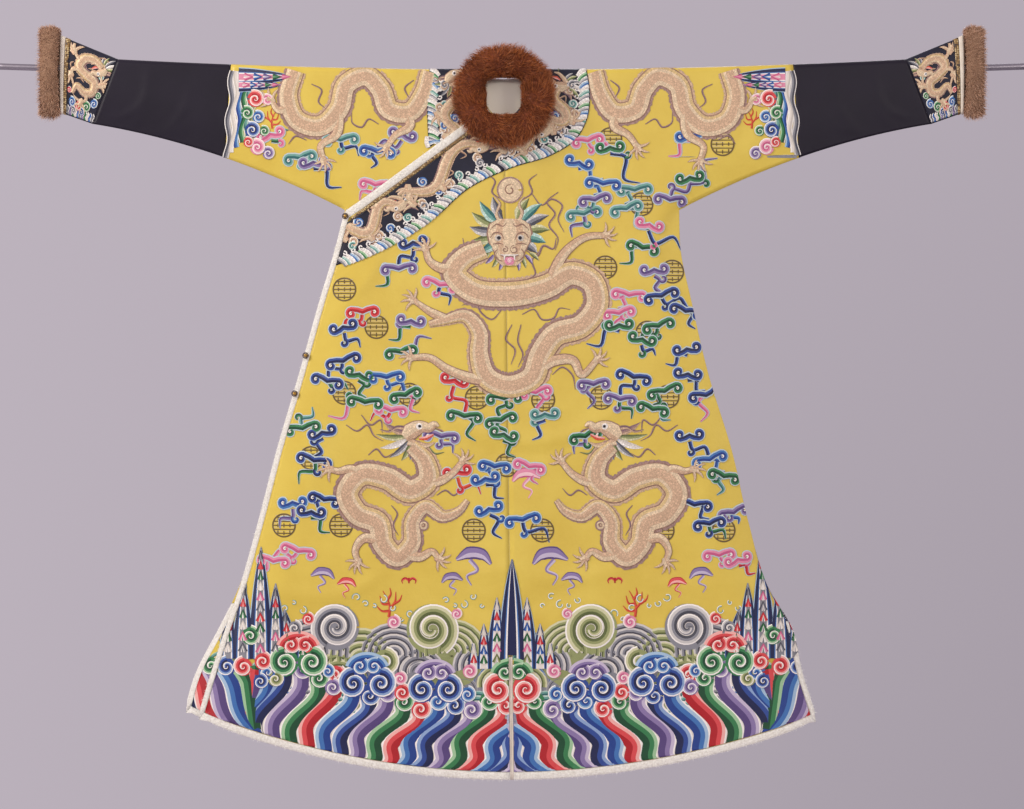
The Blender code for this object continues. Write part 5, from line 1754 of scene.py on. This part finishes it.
def cuff_roll(turn, section, shrink=0.0):
    """A ring round the cuff's end: its centre follows an ellipse, its section is an upright one."""
    out = (FUR_THICK - shrink) * np.cos(section)
    x = CUFF_END + FUR_WIDE + GAP + (FUR_WIDE - shrink) * np.sin(section)
    z = 0.006 + (FUR_HALF + out) * np.cos(turn)
    y = (FUR_DEEP + out) * np.sin(turn)
    return joined(x, y, z)


def closed_roll(rings):
    """Points and faces of a roll closed on itself both ways."""
    points, faces = rings.reshape(-1, 3), lattice(*rings.shape[:2], True, True)
    return points, faces[:, ::-1] if inside_out(points, faces) else faces


for side, label in ((1, "left"), (-1, "right")):
    sign = np.array([side, 1, 1])
    skin = closed_roll(cuff_roll(ring_turn, ring_section, 0.003) * sign)
    make(f"cuff_fur_skin_{label}", *skin, tan_coat, "tan_fur", [f"cuff_fur_{label}"])
    draw = np.random.default_rng(31 + side)
    turn, section = draw.uniform(0, 2 * np.pi, 7500), draw.uniform(0, 2 * np.pi, 7500)
    base = cuff_roll(turn, section, 0.004) * sign
    normal = unit((cuff_roll(turn, section) - cuff_roll(turn, section, 0.003)) * sign)
    comb = np.stack([0.5 * side * np.ones(7500), 0 * turn, -0.3 + 0.5 * np.cos(turn)], -1)
    name, seed = f"cuff_fur_hair_{label}", 40 + side
    pile(base, 0.7 * normal, comb, 0.0085, 0.0011, 0.60, seed, name, tan_hair, "tan_fur")

# Fur collar: a long-haired roll of dark red-brown sable sewn round the neck, its two ends met in front.
RING_Z, RING_OUTER, RING_HOLE, RING_DEEP = -0.047, 0.100, 0.0345, 0.017
brown_coat = mottled("sable_under_coat", "#3A1408", "#8A4520", 90.0, (None, 0.8, 0.003), 4.0, Roughness=0.9)
brown_hair = fur_finish("sable_guard_hair", "#4A1A0A", "#C2733C", "#B0683A")


def collar_roll(turn, section, shrink=0.0):
    """A ring round the neck: its section is an ellipse that is deeper at the top."""
    rise = (1 + np.sin(turn)) / 2
    deep = RING_DEEP + 0.010 * rise**10 - shrink
    # The hole is a rounded square, a little narrower below, and the outside a circle.
    hole = RING_HOLE * (np.cos(turn) ** 6 + np.sin(turn) ** 6) ** (-1 / 6)
    hole = hole * (1 - 0.12 * np.cos(turn) ** 2 * (1 - rise))
    out = (RING_OUTER + hole) / 2 + ((RING_OUTER - hole) / 2 - shrink) * np.cos(section)
    x, y = NECK_X + out * np.cos(turn), -0.041 + 0.005 * rise + deep * np.sin(section)
    return joined(x, y, RING_Z + out * np.sin(turn))


skin = closed_roll(collar_roll(ring_turn - np.pi / 2, ring_section, 0.004))
make("fur_collar_skin", *skin, brown_coat, "brown_fur", ["fur_collar"])
draw = np.random.default_rng(77)
HAIRS = 17000
turn, section = draw.uniform(0, 2 * np.pi, HAIRS), draw.uniform(0, 2 * np.pi, HAIRS)
base = collar_roll(turn, section, 0.006)
normal = unit(collar_roll(turn, section) - collar_roll(turn, section, 0.004))
sway = np.sin(3 * turn + 1.1) * 0.7 + 0.5 * np.sin(7 * turn)
comb = np.stack(
    [np.cos(turn) * 0.5 - sway * np.sin(turn), -0.05 + 0 * turn, np.sin(turn) * 0.5 + sway * np.cos(turn)], -1
)
pile(base, 0.55 * normal, comb, 0.012, 0.0012, 0.75, 78, "fur_collar_hair", brown_hair, "brown_fur", 0.22)

# Fastenings: gilt ball buttons on the overlap's side edge, each held by a loop of brown cord.
gilt, tree, shader = finish_of("fire_gilt_brass", Base_Color=linear("#B08A45"), Metallic=1.0)
worn = add(
    tree, "TexNoise", {"Vector": add(tree, "TexCoord").outputs["Object"], "Scale": 600.0, "Detail": 2.0}
).outputs["Fac"]
rough = add(tree, "MapRange", {"Value": worn, "To Min": 0.25, "To Max": 0.5}).outputs[0]
tree.links.new(rough, shader.inputs["Roughness"])
cord_silk, tree, shader = finish_of("twisted_silk_cord", Roughness=0.6, Base_Color=linear("#4A3524"))
twist = add(tree, "TexWave", {"Vector": add(tree, "TexCoord").outputs["Object"], "Scale": 300.0},
            bands_direction="DIAGONAL").outputs["Fac"]
lift = add(tree, "Bump", {"Height": twist, "Strength": 0.6, "Distance": 0.0004}).outputs[0]
tree.links.new(lift, shader.inputs["Normal"])
BALL, CORD = 0.004, 0.001
FASTENINGS = ((0.284, 0.006), (0.562, 0.005), (0.638, 0.005))
for number, (depth, inset) in enumerate(FASTENINGS, 1):
    x = inset - through(DEPTH, OVERLAP_SIDE, np.array(depth))
    middle = on_layer("over", x, -depth, 0.0018 + 2 * GAP + BALL)
    latitude = np.linspace(0, np.pi, 21)[1:-1, None]
    longitude = round_turn(32)
    # The ball is chased with eight shallow petals round its front.
    radius = BALL * (1 - 0.06 * np.abs(np.cos(4 * longitude)) * np.sin(latitude) ** 2)
    level = radius * np.sin(latitude)
    ball = middle + joined(level * np.cos(longitude), -radius * np.cos(latitude), level * np.sin(longitude))
    points, faces = capped_tube(ball)
    points[-2:] = middle + np.array([[0, -BALL, 0], [0, BALL, 0]])
    make(f"gilt_button_{number}", points, faces, gilt, "gilt", [f"button_{number}"])
    around, round_cord = round_turn(48)[:, None], rod_turn[::4]
    out = BALL + CORD + GAP + CORD * np.cos(round_cord)
    ring = middle + joined(out * np.cos(around), CORD * np.sin(round_cord), out * np.sin(around))
    make(f"cord_loop_{number}", *closed_roll(ring), cord_silk, "brocade", [f"loop_{number}"])

# Room: a pale floor below the hem, even light from both sides as for a flat garment, and a camera
# level with the robe's middle.
FLOOR_Z, FLOOR_RADIUS = -1.85, 1.7
paint, tree, shader = finish_of("pale_floor", Base_Color=linear("#C9C2CA"), Roughness=0.8)
ring = round_turn(96)
disc = joined(FLOOR_RADIUS * np.cos(ring), FLOOR_RADIUS * np.sin(ring), FLOOR_Z)
floor_mesh = bpy.data.meshes.new("floor")
floor_mesh.from_pydata(disc.tolist(), [], [tuple(range(96))])
floor_mesh.materials.append(paint)
floor = bpy.data.objects.new("floor", floor_mesh)
bpy.context.scene.collection.objects.link(floor)

world = bpy.data.worlds.new("studio")
bpy.context.scene.world = world
world.use_nodes = True
tree = world.node_tree
background = tree.nodes["Background"]
way = add(tree, "SeparateXYZ", {"Vector": add(tree, "TexCoord").outputs["Generated"]})
across = add(tree, "MapRange", {"Value": way.outputs["X"], "From Min": -0.35, "From Max": 0.5}).outputs[0]
down = add(tree, "MapRange", {"Value": way.outputs["Z"], "From Min": 0.5, "From Max": -0.8}).outputs[0]
dim = add(tree, "Math", {0: across, 1: down}, operation="MULTIPLY").outputs[0]
tint = add(tree, "Mix", {"Factor": dim, "A": linear("#C0B6C0"), "B": linear("#564F5B")}, data_type="RGBA")
tree.links.new(tint.outputs["Result"], background.inputs["Color"])
background.inputs["Strength"].default_value = 1.0


def area_light(name, place, target, size, power, colour):
    """A square soft light at a place, turned towards a target."""
    lamp = bpy.data.lights.new(name, "AREA")
    lamp.size, lamp.energy, lamp.color = size, power, linear(colour)[:3]
    made = bpy.data.objects.new(name, lamp)
    made.location = place
    made.rotation_mode = "QUATERNION"
    made.rotation_quaternion = (Vector(target) - Vector(place)).to_track_quat("-Z", "Y")
    bpy.context.scene.collection.objects.link(made)


area_light("key_left", (-3.0, -1.9, 1.3), (0, 0, -0.6), 1.2, 96, "#FFF8F0")
area_light("key_right", (2.7, -3.0, 0.5), (0, 0, -0.7), 1.6, 36, "#FFF8F0")
area_light("front_fill", (0, -5.0, 0.2), (0, 0, -0.3), 1.0, 30, "#FFFAF4")
area_light("back_fill", (0.5, 3.4, 1.2), (0, 0, -0.6), 2.2, 70, "#F4F6FF")

bpy.context.scene.view_settings.view_transform = "Standard"
VIEW_WIDTH, LENS, SENSOR = 2.048, 80.0, 36.0
camera = bpy.data.objects.new("camera", bpy.data.cameras.new("camera"))
camera.data.lens, camera.data.sensor_width = LENS, SENSOR
camera.location = (0, -VIEW_WIDTH * LENS / SENSOR, -0.6594)
camera.rotation_euler = (np.pi / 2, 0, 0)
bpy.context.scene.collection.objects.link(camera)
bpy.context.scene.camera = camera
